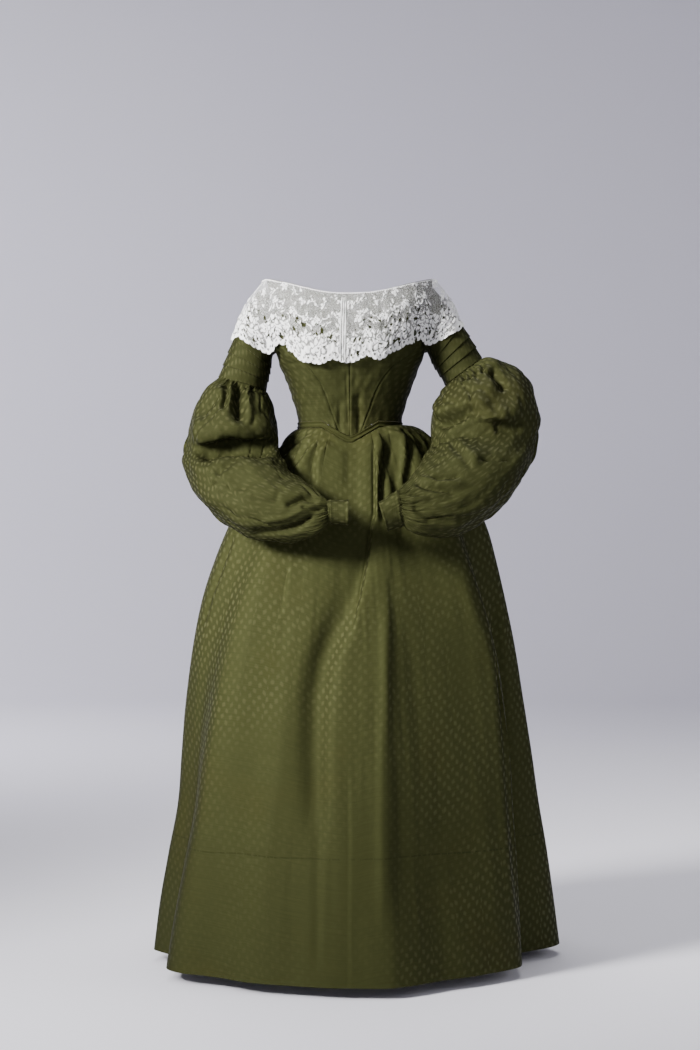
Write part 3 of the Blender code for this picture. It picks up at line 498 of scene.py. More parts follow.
def bodiceAngle(axis, wanted, height, low, high):  # where the bodice has the given x or y
    rising = bodicePoint(high, height)[axis] > bodicePoint(low, height)[axis]
    for _ in range(30):
        middle = (low + high) / 2
        if (bodicePoint(middle, height)[axis] < wanted) == rising:
            low = middle
        else:
            high = middle
    return (low + high) / 2


def seamHeight(angle):
    turn = np.sqrt(wrapAngle(angle) ** 2 + seam["round"] ** 2) - 0.4 * seam["round"]
    return seam["side"] - seam["drop"] * np.maximum(0.0, 1 - turn / seam["pointAngle"])


def neckHeight(angle):
    end = np.where(np.abs(wrapAngle(angle)) <= 90, neck["front"], neck["back"])
    return mix(end, neck["side"], np.abs(np.sin(np.radians(angle))) ** 3)


def bodiceFoot(angle):
    return seamHeight(angle) + band["height"] + 2 * band["gap"]


def armholePlace(turn):
    hole = bodice["armhole"]
    height = hole["height"] + hole["halfHeight"] * math.cos(math.radians(turn))
    depth = -hole["halfDepth"] * math.sin(math.radians(turn))
    return (bodiceAngle(1, depth, height, 0.0, 180.0), height)


def evenPlaces(places, count, smooth=False):  # (angle, height) places spread evenly along a run of them
    places = np.array(places, float)
    steps = np.hypot(np.radians(np.diff(places[:, 0])) * bodice["meanRadius"], np.diff(places[:, 1]))
    lengths = np.concatenate([[0], np.cumsum(steps)])
    wanted = np.linspace(0, lengths[-1], count + 1)
    if smooth:
        return np.stack([curveThrough(lengths, places[:, k], wanted) for k in (0, 1)], axis=1)
    return np.stack([np.interp(wanted, lengths, places[:, k]) for k in (0, 1)], axis=1)


def edgeRun(first, last, heightOf):
    angles = np.linspace(first, last, bodice["columns"] + 1)
    return np.stack([angles, heightOf(angles)], axis=1)


def alongGrid(grid, axis):  # arc length along a grid's rows or columns
    steps = np.linalg.norm(np.diff(grid, axis=axis), axis=-1)
    pad = [(0, 0), (0, 0)]
    pad[axis] = (1, 0)
    return np.pad(np.cumsum(steps, axis=axis), pad)


def bodicePanel(node, side, low, high, left, right):
    rows = len(right) - 1
    u = np.linspace(0, 1, bodice["columns"] + 1)[None, :, None]
    v = np.linspace(0, 1, rows + 1)[:, None, None]
    edges = mix(left[:, None], right[:, None], u) + mix(low[None], high[None], v)
    corners = mix(mix(left[0], right[0], u), mix(left[-1], right[-1], u), v)
    place = edges - corners
    grid = bodicePoint(side * place[..., 0], place[..., 1])
    normals = gridNormals(grid)
    fromLeft = alongGrid(grid, 1)
    fromRight = fromLeft[:, -1:] - fromLeft
    relief = foldRelief(grid, normals, bodice["folds"])
    for away in (fromLeft, fromRight):
        relief -= bodice["seamRoll"] * np.exp(-away / bodice["seamRollWidth"])
        relief += bodice["seamTurning"] * ease(1 - np.abs(away - 0.004) / bodice["seamTurningWidth"])
    x, z = grid[..., 0] * 1000, grid[..., 2] * 1000
    pucker, wrinkle, waistPucker = bodice["unevenness"]
    relief += pucker * softNoise(x / 9 + 20, z / 16 + 20, 5) + wrinkle * softNoise(x / 22, z / 9, 6)
    down = ease((0.06 - grid[..., 2]) / 0.06)
    relief += waistPucker * down * softNoise(x / 6 + 7, z / 30 + 3, 8)
    grid = grid + normals * relief[..., None]
    height = grid[..., 2]
    uv = np.stack([side * fromLeft + x.mean() / 1000, height], axis=-1)
    panel = clothPiece(camel(node), grid, uv, bodiceSilk, wall=bodice["wall"], lining=cottonLining)
    width, length, area = bodice["cut"][node.rsplit("_", 1)[0]]
    declare(
        panel, ["bodice_" + node], "bodice_silk",
        flat=(width, length), held="stretched", rests_on=["waistBand"], area=area,
    )
    return panel.name, grid


def makeBodice():  # the panels' names with their points, as seen before the wall is added
    dartFoot, sideFoot, dartEnd = bodice["dartFoot"], bodice["sideSeam"], bodice["dartEnd"]

    def footAt(angle):
        return (angle, float(bodiceFoot(angle)))

    def neckAt(angle):
        return (angle, float(neckHeight(angle)))

    def armhole(first, last, count):
        return np.array([armholePlace(turn) for turn in np.linspace(first, last, count + 1)])

    dart = [footAt(dartFoot)]
    dart += [(bodiceAngle(0, x, z, 0.0, 90.0), z) for z, x in metres(bodice["dart"])]
    dart = evenPlaces([*dart, armholePlace(dartEnd)], bodice["dartSteps"], smooth=True)
    sideSeam = evenPlaces([footAt(sideFoot), armholePlace(180.0)], bodice["dartSteps"])
    shoulder = np.array([neckAt(90.0)])
    outer = np.concatenate([dart, armhole(dartEnd, 0, bodice["armholeFrontSteps"])[1:], shoulder])
    inner = np.concatenate([sideSeam, armhole(180, 360, bodice["armholeBackSteps"])[1:], shoulder])
    centreFront = evenPlaces([footAt(0.0), neckAt(0.0)], len(outer) - 1)
    centreBack = evenPlaces([footAt(180.0), neckAt(180.0)], len(inner) - 1)
    underArm = armhole(dartEnd, 180, bodice["columns"])
    frontNeck, backNeck = edgeRun(0.0, 90.0, neckHeight), edgeRun(90.0, 180.0, neckHeight)
    shapes = dict(  # lower and upper edge, then the edge nearer the front and the other
        front_centre=(edgeRun(0.0, dartFoot, bodiceFoot), frontNeck, centreFront, outer),
        front_side=(edgeRun(dartFoot, sideFoot, bodiceFoot), underArm, dart, sideSeam),
        back=(edgeRun(sideFoot, 180.0, bodiceFoot), backNeck, inner, centreBack),
    )
    return dict(
        bodicePanel(shape + "_" + name, side, *edges)
        for name, side in (("left", -1), ("right", 1)) for shape, edges in shapes.items()
    )


bodiceGrids = makeBodice()
print("bodice made")


def makeBand():
    angles = np.linspace(-180, 180, band["columns"] + 1)
    share = np.linspace(0, 1, band["rows"])
    heights = seamHeight(angles)[None] + band["gap"] + share[:, None] * (band["height"] - band["gap"])
    cord = 1.4 * np.exp(-((share - 0.22) / 0.16) ** 2) + 0.9 * np.exp(-((share - 0.86) / 0.12) ** 2) + 0.5
    proud = band["proud"] * (cord[:, None] + 0.25 * softNoise(angles[None] / 4, share[:, None] * 2, 3))
    grid = bodicePoint(angles[None], heights, proud)
    uv = np.stack([np.broadcast_to(angles / 360 * 0.62, heights.shape), heights], axis=-1)
    piece = clothPiece("waistBand", grid, uv, bandSilk, wall=band["wall"], lining=cottonLining)
    declare(
        piece, ["waist_band"], "waist_band_silk",
        flat=(0.026, 0.62), held="stretched", rests_on=list(bodiceGrids), area=0.0105,
    )


makeBand()
print("waist band made")

# Skirt

skirt = dict(
    wall=0.0011, hem=-0.983, power=2.3, cutWidth=2.75, cutLength=1.04, shownArea=0.40,
    # height, left, right, front, back
    rows=[
        (10, 101, 118, 79, 96), (-12, 107, 148, 86, 126), (-34, 127, 162, 92, 148),
        (-60, 152, 180, 101, 170), (-100, 185, 210, 115, 197), (-150, 213, 238, 135, 223),
        (-196, 234, 258, 153, 243), (-252.5, 256.5, 273.6, 173, 263),
        (-328.5, 281, 292.6, 199, 284), (-423.5, 300, 313.5, 225, 306),
        (-518.5, 311.6, 328.7, 251, 326), (-613.5, 319, 344, 277, 344), (-708.5, 325, 357, 302, 360),
        (-803.5, 342, 374, 326, 376), (-898.5, 357, 387.6, 350, 391), (-983, 366.7, 399, 371, 402),
    ],
    # angle at the top, middle and hem, then how far it stands out there
    foldHeights=(-0.030, -0.450, -0.983),
    foldUnits=(1, 1, 1, 1000, 1000, 1000),
    foldLines=[
        (-180, -180, -180, -4, -16, -22), (-164, -165, -166, 5, 12, 12), (-149, -151, -152, -5, -18, -30),
        (-134, -136, -137, 6, 10, 16), (-119, -121, -121, -4, -16, -26), (-104, -107, -106, 5, 8, 10),
        (-90, -95, -94, -2, -4, -6), (-72, -84, -83, 4, 0, 2), (-55, -68, -71, -4, -18, -32),
        (-40, -50, -55, 4, 5, 12), (-24, -33, -38, -1, -5, -18), (-8, -23, -28, 1, -2, -12),
        (7, -14, -20, 0, -5, -12), (20, 1, 0, 4, 5, 0), (31, 15, 11, 4, 5, 3), (42, 29, 31, -6, -20, -39),
        (54, 62, 56, 4, 2, -40), (68, 74, 73, -5, -42, -78), (84, 88, 92, 6, 1, 1),
        (99, 103, 105, -5, -18, -26),
        (115, 118, 119, 5, 10, 12), (131, 133, 134, -5, -17, -30), (147, 149, 149, 6, 12, 15),
        (163, 164, 164, -4, -14, -24),
    ],
    # the cloth right of the centre falls flat: height, then the angles it reaches from and to
    flat=[
        (-120, 30, 50), (-300, 17, 56), (-380, 16.3, 60), (-460, 13.6, 62), (-600, 12.8, 61),
        (-800, 10.2, 58), (-983, 9.4, 56),
    ],
    pleats=dict(
        aSide=16, first=25.0, depth=0.0062, length=0.150, crest=0.78, setIn=0.6, columns=10, frontColumns=46,
    ),
    # angle, how far the pleats stand up above the seam
    rise=[(-180, 6), (-120, 5), (-75, 0), (25, -4), (50, 8), (80, 11), (120, 8), (180, 6)],
    # each width runs from one pleat to another, counted from the front
    widths=[
        ("skirt_front", -1, 1), ("skirt_side_right", 1, 9), ("skirt_back_right", 9, 16),
        ("skirt_back_left", -16, -9), ("skirt_side_left", -9, -1),
    ],
    headRows=24, bodyRows=180,
    folds=[
        ("lap", 5, 2.5, 22, [(-73, -14), (-108, -44), (-123, -60), (-146, -83)]),
        ("lap", 6, 2.5, 26, [(-54, -17), (-82, -54), (-98, -78), (-111, -103), (-124, -140)]),
        ("lap", 9, 4, 40, [(-40, -22), (-57, -48), (-63, -69), (-63, -95), (-61, -131)]),
        ("hollow", 2, 9, 0, [(-4, -47), (-4, -120)]),
        ("lap", 9, 2, 24, [
            (43, -11), (47, -31), (47, -96), (47, -166), (41, -190), (38, -213), (33, -248), (28, -271),
            (21, -305), (11, -348), (0, -401),
        ]),
        ("hollow", 13, 21, 0, [
            (46, -170), (36, -205), (20, -250), (4, -305), (-14, -348), (-36, -392), (-52, -430),
            (-64, -490), (-66, -590), (-62, -690), (-58, -790),
        ]),
        ("hollow", 10, 8, 0, [(71, -30), (65, -71), (61, -107), (60, -140), (62, -195)]),
        ("ridge", 6, 7, 0, [(56, -12), (82, -16), (97, -21), (102, -35), (103, -60), (96, -95), (92, -140)]),
        ("hollow", 6, 9, 0, [(106, -24), (113, -47), (111, -83), (107, -121)]),
        ("hollow", 4, 3, 0, [(94, -4), (121, -25), (142, -44)]),
        ("hollow", 5, 4, 0, [(-215, -195), (-259, -316), (-280, -393)]),
        ("lap", 4, 2.5, 20, [(-107, -255), (-116, -308), (-123, -358)]),
        ("ridge", 4, 10, 0, [
            (63, -300), (63, -385), (62, -501), (56, -616), (56, -753), (56, -836), (57, -945),
        ]),
        ("ridge", 2.5, 16, 0, [(10, -360), (-22, -444), (-30, -560), (-30, -700), (-24, -800)]),
        ("hollow", 7, 8, 0, [(264, -285), (278, -439), (286, -578), (290, -667), (303, -831), (315, -972)]),
        ("hollow", 2.0, 8, 0, [(-58, -700), (-57, -978)]),
        ("lap", 1.6, 2.5, 20, [(0, -600), (1, -753), (0, -870), (0, -1040)]),
        ("hollow", 1.2, 2.5, 0, [(-212, -773), (-88, -766), (52, -761)]),
        ("hollow", 1.6, 3, 0, [(-195, -763), (-177, -775), (-155, -769)]),
        ("hollow", 1.6, 3, 0, [(245, -947), (263, -964), (283, -975)]),
    ],
)


def foldOffset(angle, height):
    head, knee, foot = skirt["foldHeights"]
    share = np.clip((head - height) / (head - knee), 0, 1)
    low = np.clip((knee - height) / (knee - foot), 0, 1)

    def down(top, middle, hem):  # smooth from the top over the middle to the hem
        upper, lower = middle - top, hem - middle
        slope = (upper / (head - knee) + lower / (knee - foot)) / 2
        above = hermite(top, middle, upper, slope * (head - knee), share)
        below = hermite(middle, hem, slope * (knee - foot), lower, low)
        return np.where(low > 0, below, above)

    lines = [(down(*row[:3]), down(*row[3:])) for row in metres(skirt["foldLines"], skirt["foldUnits"])]
    lines.append((lines[0][0] + 360.0, lines[0][1]))
    turn = (angle - lines[0][0]) % 360.0 + lines[0][0]
    result = np.zeros(np.broadcast(angle, height).shape)
    for (first, depth), (last, nextDepth) in zip(lines, lines[1:]):
        inside = (turn >= first) & (turn <= last)
        result = np.where(inside, mix(depth, nextDepth, ease((turn - first) / (last - first))), result)
    return result


def pleatOffset(angle, height):  # knife pleats laid to the back on both sides of the plain front
    pleats = skirt["pleats"]
    turn = wrapAngle(angle)
    run = (np.abs(turn) - pleats["first"]) / (180.0 - pleats["first"]) * pleats["aSide"]
    number = np.clip(np.floor(run + 1e-6).astype(int), 0, pleats["aSide"] - 1)
    part = np.clip(run - number, 0, 1)
    rng = np.random.default_rng(11)
    lengths = rng.uniform(0.6, 1.5, 2 * pleats["aSide"])
    depths = rng.uniform(0.75, 1.15, 2 * pleats["aSide"])
    pick = number + (turn > 0) * pleats["aSide"]
    climb = part / pleats["crest"]
    tooth = np.minimum(ease(climb) * 0.5 + climb * 0.5, (1 - part) / (1 - pleats["crest"]))
    drop = np.maximum(0.0, seam["side"] - height)
    fade = 1 - ease(drop / (pleats["length"] * lengths[pick]))
    front = (np.abs(turn) >= pleats["first"]) * mix(0.35, 1.0, ease((np.abs(turn) - 45) / 30))
    return pleats["depth"] * depths[pick] * (tooth - pleats["setIn"]) * fade * ease(drop / 0.02) * front


def halfAngles():  # from the centre front to the centre back, with a column at every fold of a pleat
    pleats = skirt["pleats"]
    pitch = (180.0 - pleats["first"]) / pleats["aSide"]
    shares = np.concatenate([
        np.linspace(0, pleats["crest"], pleats["columns"] - 3)[:-1],
        np.linspace(pleats["crest"], 1, 5)[:-1],
    ])
    front = np.linspace(0, pleats["first"], pleats["frontColumns"] + 1)[:-1]
    folds = [pleats["first"] + (pleat + shares) * pitch for pleat in range(pleats["aSide"])]
    return np.concatenate([front, *folds, [180.0]])


def skirtRadius(angle, height, flattened=True):
    turn = wrapAngle(angle)
    heights, *columns = metres(skirt["rows"]).T
    left, right, front, back = [curveThrough(heights, column, height) for column in columns]
    width, deep = np.where(turn > 0, right, left), np.where(np.abs(turn) <= 90, front, back)
    start = ease((seam["side"] - height) / 0.03)
    radius = ovalRadius(turn, width, deep, skirt["power"]) + foldOffset(angle, height) * start
    if not flattened:
        return radius
    drops, firsts, lasts = metres(skirt["flat"], (1000, 1, 1)).T
    first, last = np.interp(-height, -drops, firsts), np.interp(-height, -drops, lasts)
    inside = (turn > first) & (turn < last)
    near, far = skirtRadius(first, height, False), skirtRadius(last, height, False)
    spans = (turn - first, last - turn, last - first)
    spin, rest, whole = [np.radians(np.clip(span, 0.1, 179)) for span in spans]
    chord = near * far * np.sin(whole) / (near * np.sin(spin) + far * np.sin(rest))
    share = 0.95 * ease((-0.12 - height) / 0.18) * mix(1.0, 0.35, ease((-0.72 - height) / 0.24))
    share = share * ease((turn - first) / 5) * ease((last - turn) / 4)
    return np.where(inside, mix(radius, chord, share), radius)


def skirtGrid(angles):
    top = seamHeight(angles) - band["gap"]
    atSeam = bodicePoint(angles, top)
    firstRadius = np.linalg.norm(atSeam[:, :2], axis=1)
    headHeight = np.minimum(-0.034, top - 0.012)
    headRadius = skirtRadius(angles, headHeight)
    rises = curveThrough(*metres(skirt["rise"], (1, 1000)).T, wrapAngle(angles))
    width = headRadius - firstRadius
    t = np.linspace(0, 1, skirt["headRows"] + 1)[:-1, None]
    controls = [
        (firstRadius, top),
        (firstRadius + 0.18 * width, top + np.maximum(rises, 0) * 1.5 + 0.001),
        (headRadius - 0.30 * width, mix(top, headHeight, 0.35) + rises * 0.9),
        (headRadius, headHeight),
    ]
    weights = [(1 - t) ** 3, 3 * t * (1 - t) ** 2, 3 * t * t * (1 - t), t ** 3]
    headR = sum(w * c[0] for w, c in zip(weights, controls))
    headZ = sum(w * c[1] for w, c in zip(weights, controls))
    share = np.linspace(0, 1, skirt["bodyRows"])[:, None] ** 1.25
    bodyZ = mix(headHeight[None], skirt["hem"], share)
    bodyR = skirtRadius(angles[None], bodyZ)
    radius = np.concatenate([headR, bodyR])
    height = np.concatenate([headZ, bodyZ])
    radius = radius + pleatOffset(angles[None], height) * ease(np.arange(len(radius))[:, None] / 5)
    return aroundPoint(angles[None], radius, height)


def skirtCloth(grid, down, centre):  # places on the cut cloth, with what each pleat hides left out
    pleats = skirt["pleats"]
    across = alongGrid(grid, 1)
    across = across - across[:, centre:centre + 1]
    hidden = skirt["cutWidth"] / 2 - np.minimum(-across[:, :1], across[:, -1:])
    hidden = np.maximum(hidden, 0) / (pleats["aSide"] + 1)
    number = (np.arange(across.shape[1]) - centre)[None]
    pleated = np.abs(number) - pleats["frontColumns"]
    after = np.maximum(0, pleated // pleats["columns"] + 1)
    before = np.maximum(0, -(-pleated // pleats["columns"]))
    left = across + hidden * np.where(number >= 0, after, -before)
    right = across + hidden * np.where(number > 0, before, -after)
    return tuple(np.stack([u, -down], axis=-1) for u in (left, right))


def makeSkirt():
    half = halfAngles()
    centre = len(half) - 1
    angles = np.concatenate([-half[::-1], half[1:]])
    grid = skirtGrid(angles[:-1])
    normals = gridNormals(grid, closed=True)
    relief = foldRelief(grid, normals, skirt["folds"])
    around, z = angles[None, :-1] / 360 * 64, grid[..., 2] * 1000
    low = ease(-z / 300)
    relief += low * 0.0012 * softNoise(around, z / 240, 21)
    relief += low * 0.0004 * softNoise(around * 3, z / 90, 22)
    grid = grid + normals * relief[..., None]
    grid[-1, :, 2] = skirt["hem"]
    grid = np.concatenate([grid, grid[:, :1]], axis=1)
    down = alongGrid(grid, 0)
    left, right = skirtCloth(grid, down, centre)
    pleats = skirt["pleats"]

    def columnOf(pleat):
        return centre + int(math.copysign(pleats["frontColumns"] + abs(pleat) * pleats["columns"], pleat))

    for node, first, last in skirt["widths"]:
        pick = slice(columnOf(first), columnOf(last) + 1)
        cloth = (left[:, pick], right[:, pick])
        piece = clothPiece(camel(node), grid[:, pick], cloth, skirtSilk, wall=skirt["wall"])
        declare(
            piece, [node], "skirt_silk", flat=(skirt["cutWidth"] / 5, skirt["cutLength"]), held="gathered",
            rests_on=["waistBand"], area=skirt["shownArea"],
        )


makeSkirt()
print("skirt made")

# Sleeves

sleeve = dict(
    wall=0.0011, power=2.15, clearance=0.0110,
    # inner x and z, outer x and z, middle y, reach to the front and to the back
    upper=dict(
        left=[
            (-147, 137, -175, 258, 0, 53, 53), (-148, 131, -197, 226, 0, 51, 52),
            (-149, 123, -211, 194, 0, 48, 50), (-151, 114, -221, 166, -2, 46, 48),
            (-153, 102, -230, 141, -4, 45, 46), (-156.5, 87, -239, 117, -6, 44, 44),
            (-161, 70, -247, 94, -8, 42, 43),
        ],
        right=[
            (147, 142, 177, 243, 0, 51, 52), (151, 133, 195, 217, 0, 48, 50),
            (157, 122, 212, 194, -2, 46, 48), (163.5, 110, 226, 171, -4, 45, 46),
            (172.5, 96, 238, 150, -6, 44, 44), (182, 81, 248, 130, -8, 42, 43),
        ],
    ),
    puff=dict(
        left=[
            (-154, 63, -273, 70, -14, 60, 58), (-143, 36, -292, 30, -20, 78, 76),
            (-136, 0, -306, -17, -35, 86, 86), (-133, -30, -312, -48, -48, 66, 90),
            (-129, -55, -305, -84, -84, 88, 78), (-119, -71, -278, -136, -120, 84, 68),
            (-103, -90, -223, -188, -156, 74, 60), (-85, -107, -167, -211, -182, 62, 54),
            (-69, -119, -112, -217, -195, 52, 50), (-55, -129, -70, -209, -209, 42, 40),
            (-45, -136, -46, -194, -215, 33, 32),
        ],
        right=[
            (172, 70, 280, 128, -14, 60, 58), (163, 50, 318, 108, -20, 78, 76),
            (157, 24, 342, 73, -35, 86, 86), (153, -6, 354, 28, -50, 92, 90),
            (150, -30, 350, -22, -78, 70, 82), (143, -52, 332, -75, -108, 88, 74),
            (131, -72, 293, -132, -140, 84, 66), (116, -93, 245, -177, -168, 70, 60),
            (105, -107, 188, -204, -186, 58, 55), (96, -117, 140, -207, -202, 46, 44),
            (89, -122, 107, -197, -211, 34, 33),
        ],
    ),
    cuff=dict(
        left=[
            (-37.5, -141, -35, -184, -220, 25, 25), (-20, -141, -19, -185, -222, 25, 25),
            (-2.5, -141, -3, -186, -225, 26, 26),
        ],
        right=[
            (84, -124, 94, -189, -215, 28, 28), (67, -135, 81, -193, -218, 27, 27),
            (51, -146, 67, -197, -221, 26, 26),
        ],
    ),
    tucks=dict(sections=4, step=0.0028, rows=12),
    gathers=dict(count=46, depth=0.0042, length=0.030, uneven=0.35),
    joins=(0.0006, 0.003),  # where the puff starts beyond the band, and where it has its own section
    cloth=dict(swell=0.0044, crease=0.0036, creaseWidth=0.11, ripple=0.0010, calmEnds=0.03, foldGain=1.3),
    columns=176, rowsPerSection=11, cuffRows=24, cuffWall=0.0016, cuffRipple=0.0007, cordWidth=0.05,
    cuffCords=[(0.06, 0.0009), (0.95, 0.0011)],  # how far down the cuff, and how proud
    folds=dict(
        left=[
            ("hollow", 8, 6, 0, [(-231, 84), (-232, 66), (-234, 44), (-237, 23)]),
            ("hollow", 13, 8, 0, [(-207, 84), (-209, 52), (-206, 13), (-203, -7)]),
            ("ridge", 5, 6, 0, [(-221, 80), (-223, 46), (-229, 8)]),
            ("ridge", 6, 7, 0, [(-194, 70), (-191, 39), (-183, 0)]),
            ("hollow", 3, 2.5, 0, [(-195, 78), (-192, 62)]),
            ("hollow", 3, 2.5, 0, [(-184, 79), (-185, 58)]),
            ("hollow", 6, 7, 0, [(-243, 63), (-267, 30), (-277, 2)]),
            ("lap", 3, 2, 14, [(-234, 37), (-257, 3), (-283, -32)]),
            ("lap", 13, 7, 42, [(-290, -44), (-255, -31), (-218, -24), (-187, -27), (-133, -37)]),
            ("hollow", 12, 12, 0, [(-285, -62), (-252, -50), (-218, -44), (-180, -46), (-133, -58)]),
            ("hollow", 5, 7, 0, [(-248, -95), (-225, -75), (-206, -55)]),
            ("hollow", 4, 9, 0, [(-238, -132), (-202, -118), (-177, -121)]),
            ("hollow", 6, 5, 0, [(-117, -153), (-83, -137), (-50, -140)]),
            ("hollow", 5, 3, 0, [(-89, -153), (-71, -158), (-44, -159)]),
            ("hollow", 9, 6, 0, [(-180, -201), (-133, -201), (-96, -190), (-69, -171), (-49, -165)]),
            ("ridge", 4, 5, 0, [(-157, -181), (-116, -175), (-80, -158), (-53, -149)]),
        ],
        right=[
            ("hollow", 6, 3.5, 0, [(211, 97), (214, 80)]),
            ("hollow", 6, 3.5, 0, [(221, 102), (223, 83)]),
            ("hollow", 6, 3.5, 0, [(232, 108), (232, 91)]),
            ("hollow", 6, 3.5, 0, [(248, 115), (247, 95)]),
            ("hollow", 11, 9, 0, [(260, 105), (279, 81), (285, 59)]),
            ("lap", 3, 2, 12, [(246, 120), (262, 115), (281, 108)]),
            ("lap", 13, 5, 36, [(160, 5), (194, 21), (225, 31), (244, 23), (266, 15)]),
            ("hollow", 7, 8, 0, [(160, -4), (194, 12), (222, 21)]),
            ("hollow", 3, 1.8, 0, [(223, 56), (225, 33)]),
            ("lap", 8, 3, 22, [(227, 6), (263, 5), (295, 8)]),
            ("hollow", 8, 11, 0, [(261, -9), (293, -7), (324, 0)]),
            ("hollow", 5, 2.5, 0, [(151, -41), (161, -33), (173, -32), (184, -38)]),
            ("lap", 9, 4.0, 26, [(188, -32), (209, -59), (230, -84)]),
            ("hollow", 3, 1.8, 0, [(232, -67), (260, -69)]),
            ("hollow", 5, 3.5, 0, [(145, -101), (174, -98), (202, -96)]),
            ("hollow", 6, 5, 0, [(114, -111), (149, -120), (197, -127)]),
            ("ridge", 3, 4, 0, [(119, -98), (161, -109), (215, -111)]),
            ("hollow", 5, 7, 0, [(107, -152), (142, -174), (188, -181)]),
        ],
    ),
)


def roundPower(value):
    return np.sign(value) * np.abs(value) ** (2 / sleeve["power"])


def sectionRings(sections, columns, proud=0.0):  # one ring of points for each row of section values
    sections = np.asarray(sections, float)
    innerX, innerZ, outerX, outerZ, middleY, front, back = sections.T[..., None]
    turn = 2 * np.pi * np.arange(columns)[None] / columns
    across, along = roundPower(np.cos(turn)), roundPower(np.sin(turn))
    halfX, halfZ = (outerX - innerX) / 2, (outerZ - innerZ) / 2
    half = np.hypot(halfX, halfZ)
    grow = np.broadcast_to(proud, (len(sections), columns))
    x = (innerX + outerX) / 2 + halfX * across * (1 + grow / half)
    z = (innerZ + outerZ) / 2 + halfZ * across * (1 + grow / half)
    y = middleY - along * (np.where(along > 0, front, back) + grow)
    return np.stack([x, y, z], axis=-1)


def sectionAxis(section):  # along the arm, square to a section
    across = np.array([section[2] - section[0], 0.0, section[3] - section[1]])
    axis = np.cross(across, (0.0, -math.copysign(1.0, section[2]), 0.0))
    return axis / np.linalg.norm(axis)


def armholeRing(side, columns):
    turns = np.arange(columns) * 360 / columns
    places = [armholePlace(turn) for turn in turns]
    return np.array([bodicePoint(side * angle, height, 0.0008) for angle, height in places])


def roundTurns(columns):  # places round a sleeve, for noise that meets itself
    return np.linspace(0, 64, columns + 1)[:-1][None]


def sleeveUv(grid):  # weft round the arm, warp along it
    girth = np.linalg.norm(np.diff(np.concatenate([grid, grid[:, :1]], axis=1), axis=1), axis=-1)
    widest = girth.sum(axis=1).max()
    across = np.linspace(0, widest, grid.shape[1] + 1)[None].repeat(len(grid), axis=0)
    down = alongGrid(grid, 0)
    down = np.concatenate([down, down[:, :1]], axis=1)
    return np.stack([across, -down], axis=-1)


def finishSleeve(node, grid, flat, held, restsOn, wall=sleeve["wall"]):
    piece = clothPiece(camel(node), grid, sleeveUv(grid), sleeveSilk, closed=True, wall=wall)
    declare(piece, [node], "sleeve_silk", flat=flat, held=held, rests_on=restsOn)


def tuckedRows(last):  # places along the upper sleeve, how proud each is and how far past its place
    tucks = sleeve["tucks"]
    step = tucks["step"]
    firstTuck = last - tucks["sections"] + 1
    rows = []
    for index in range(last * tucks["rows"] + 1):
        place = index / tucks["rows"]
        whole = min(int(place), last)
        part = place - whole
        if whole >= firstTuck and part == 0:  # the lower edge of a tuck stands proud, then steps back
            lips = [(step, 0.0), (step * 0.95, 0.0005), (0.0004, 0.0007), (0.0004, 0.0012)]
            rows += [(place, *lip) for lip in lips[: 1 if whole == last else 4]]
        elif whole >= firstTuck:
            rows.append((place, step * (0.25 + 0.75 * part ** 1.5), 0.0))
        elif place >= firstTuck - 1:
            rows.append((place, step * part ** 1.5, 0.0))
        else:
            rows.append((place, 0.0, 0.0))
    return np.array(rows).T


def makeUpperSleeve(name, side):
    sections = metres(sleeve["upper"][name])
    columns = sleeve["columns"]
    places, prouds, past = tuckedRows(len(sections) - 1)
    fine = throughRows(sections, places)
    ripple = 0.0006 * softNoise(roundTurns(columns) / 3, places[:, None] * 0.9, 31 + side)
    body = sectionRings(fine, columns, prouds[:, None] + ripple)
    axes = np.array([sectionAxis(row) for row in fine])
    body = body + axes[:, None] * past[:, None, None]
    share = np.linspace(0, 1, 9)[:-1, None, None]
    start = armholeRing(side, columns)[None] * (1 - share) + body[:1] * share
    grid = np.concatenate([start, body])
    finishSleeve("upper_sleeve_" + name, grid, (0.31, 0.165), "stretched", ["back" + name.title()])
    return grid


def skirtFront(x, z):  # the most forward y of the skirt with its clearance, where a sleeve lies over it
    step = 0.004
    zs = np.arange(-0.012, -0.26, -step)
    xs = np.arange(-0.40, 0.4001, step)
    turns = np.linspace(-100, 100, 401)
    table = np.zeros((len(zs), len(xs)))
    for row, height in enumerate(zs):
        radius = skirtRadius(turns, np.full(turns.shape, height)) + sleeve["clearance"]
        px, py = radius * np.sin(np.radians(turns)), -radius * np.cos(np.radians(turns))
        for column, wanted in enumerate(xs):
            crossing = np.nonzero((px[:-1] - wanted) * (px[1:] - wanted) <= 0)[0]
            table[row, column] = min([py[i] for i in crossing] + [0.0])
    row = np.clip((zs[0] - z) / step, 0, len(zs) - 1.001)
    column = np.clip((x - xs[0]) / step, 0, len(xs) - 1.001)
    i, j = row.astype(int), column.astype(int)
    a, b = row - i, column - j
    return mix(mix(table[i, j], table[i, j + 1], b), mix(table[i + 1, j], table[i + 1, j + 1], b), a)


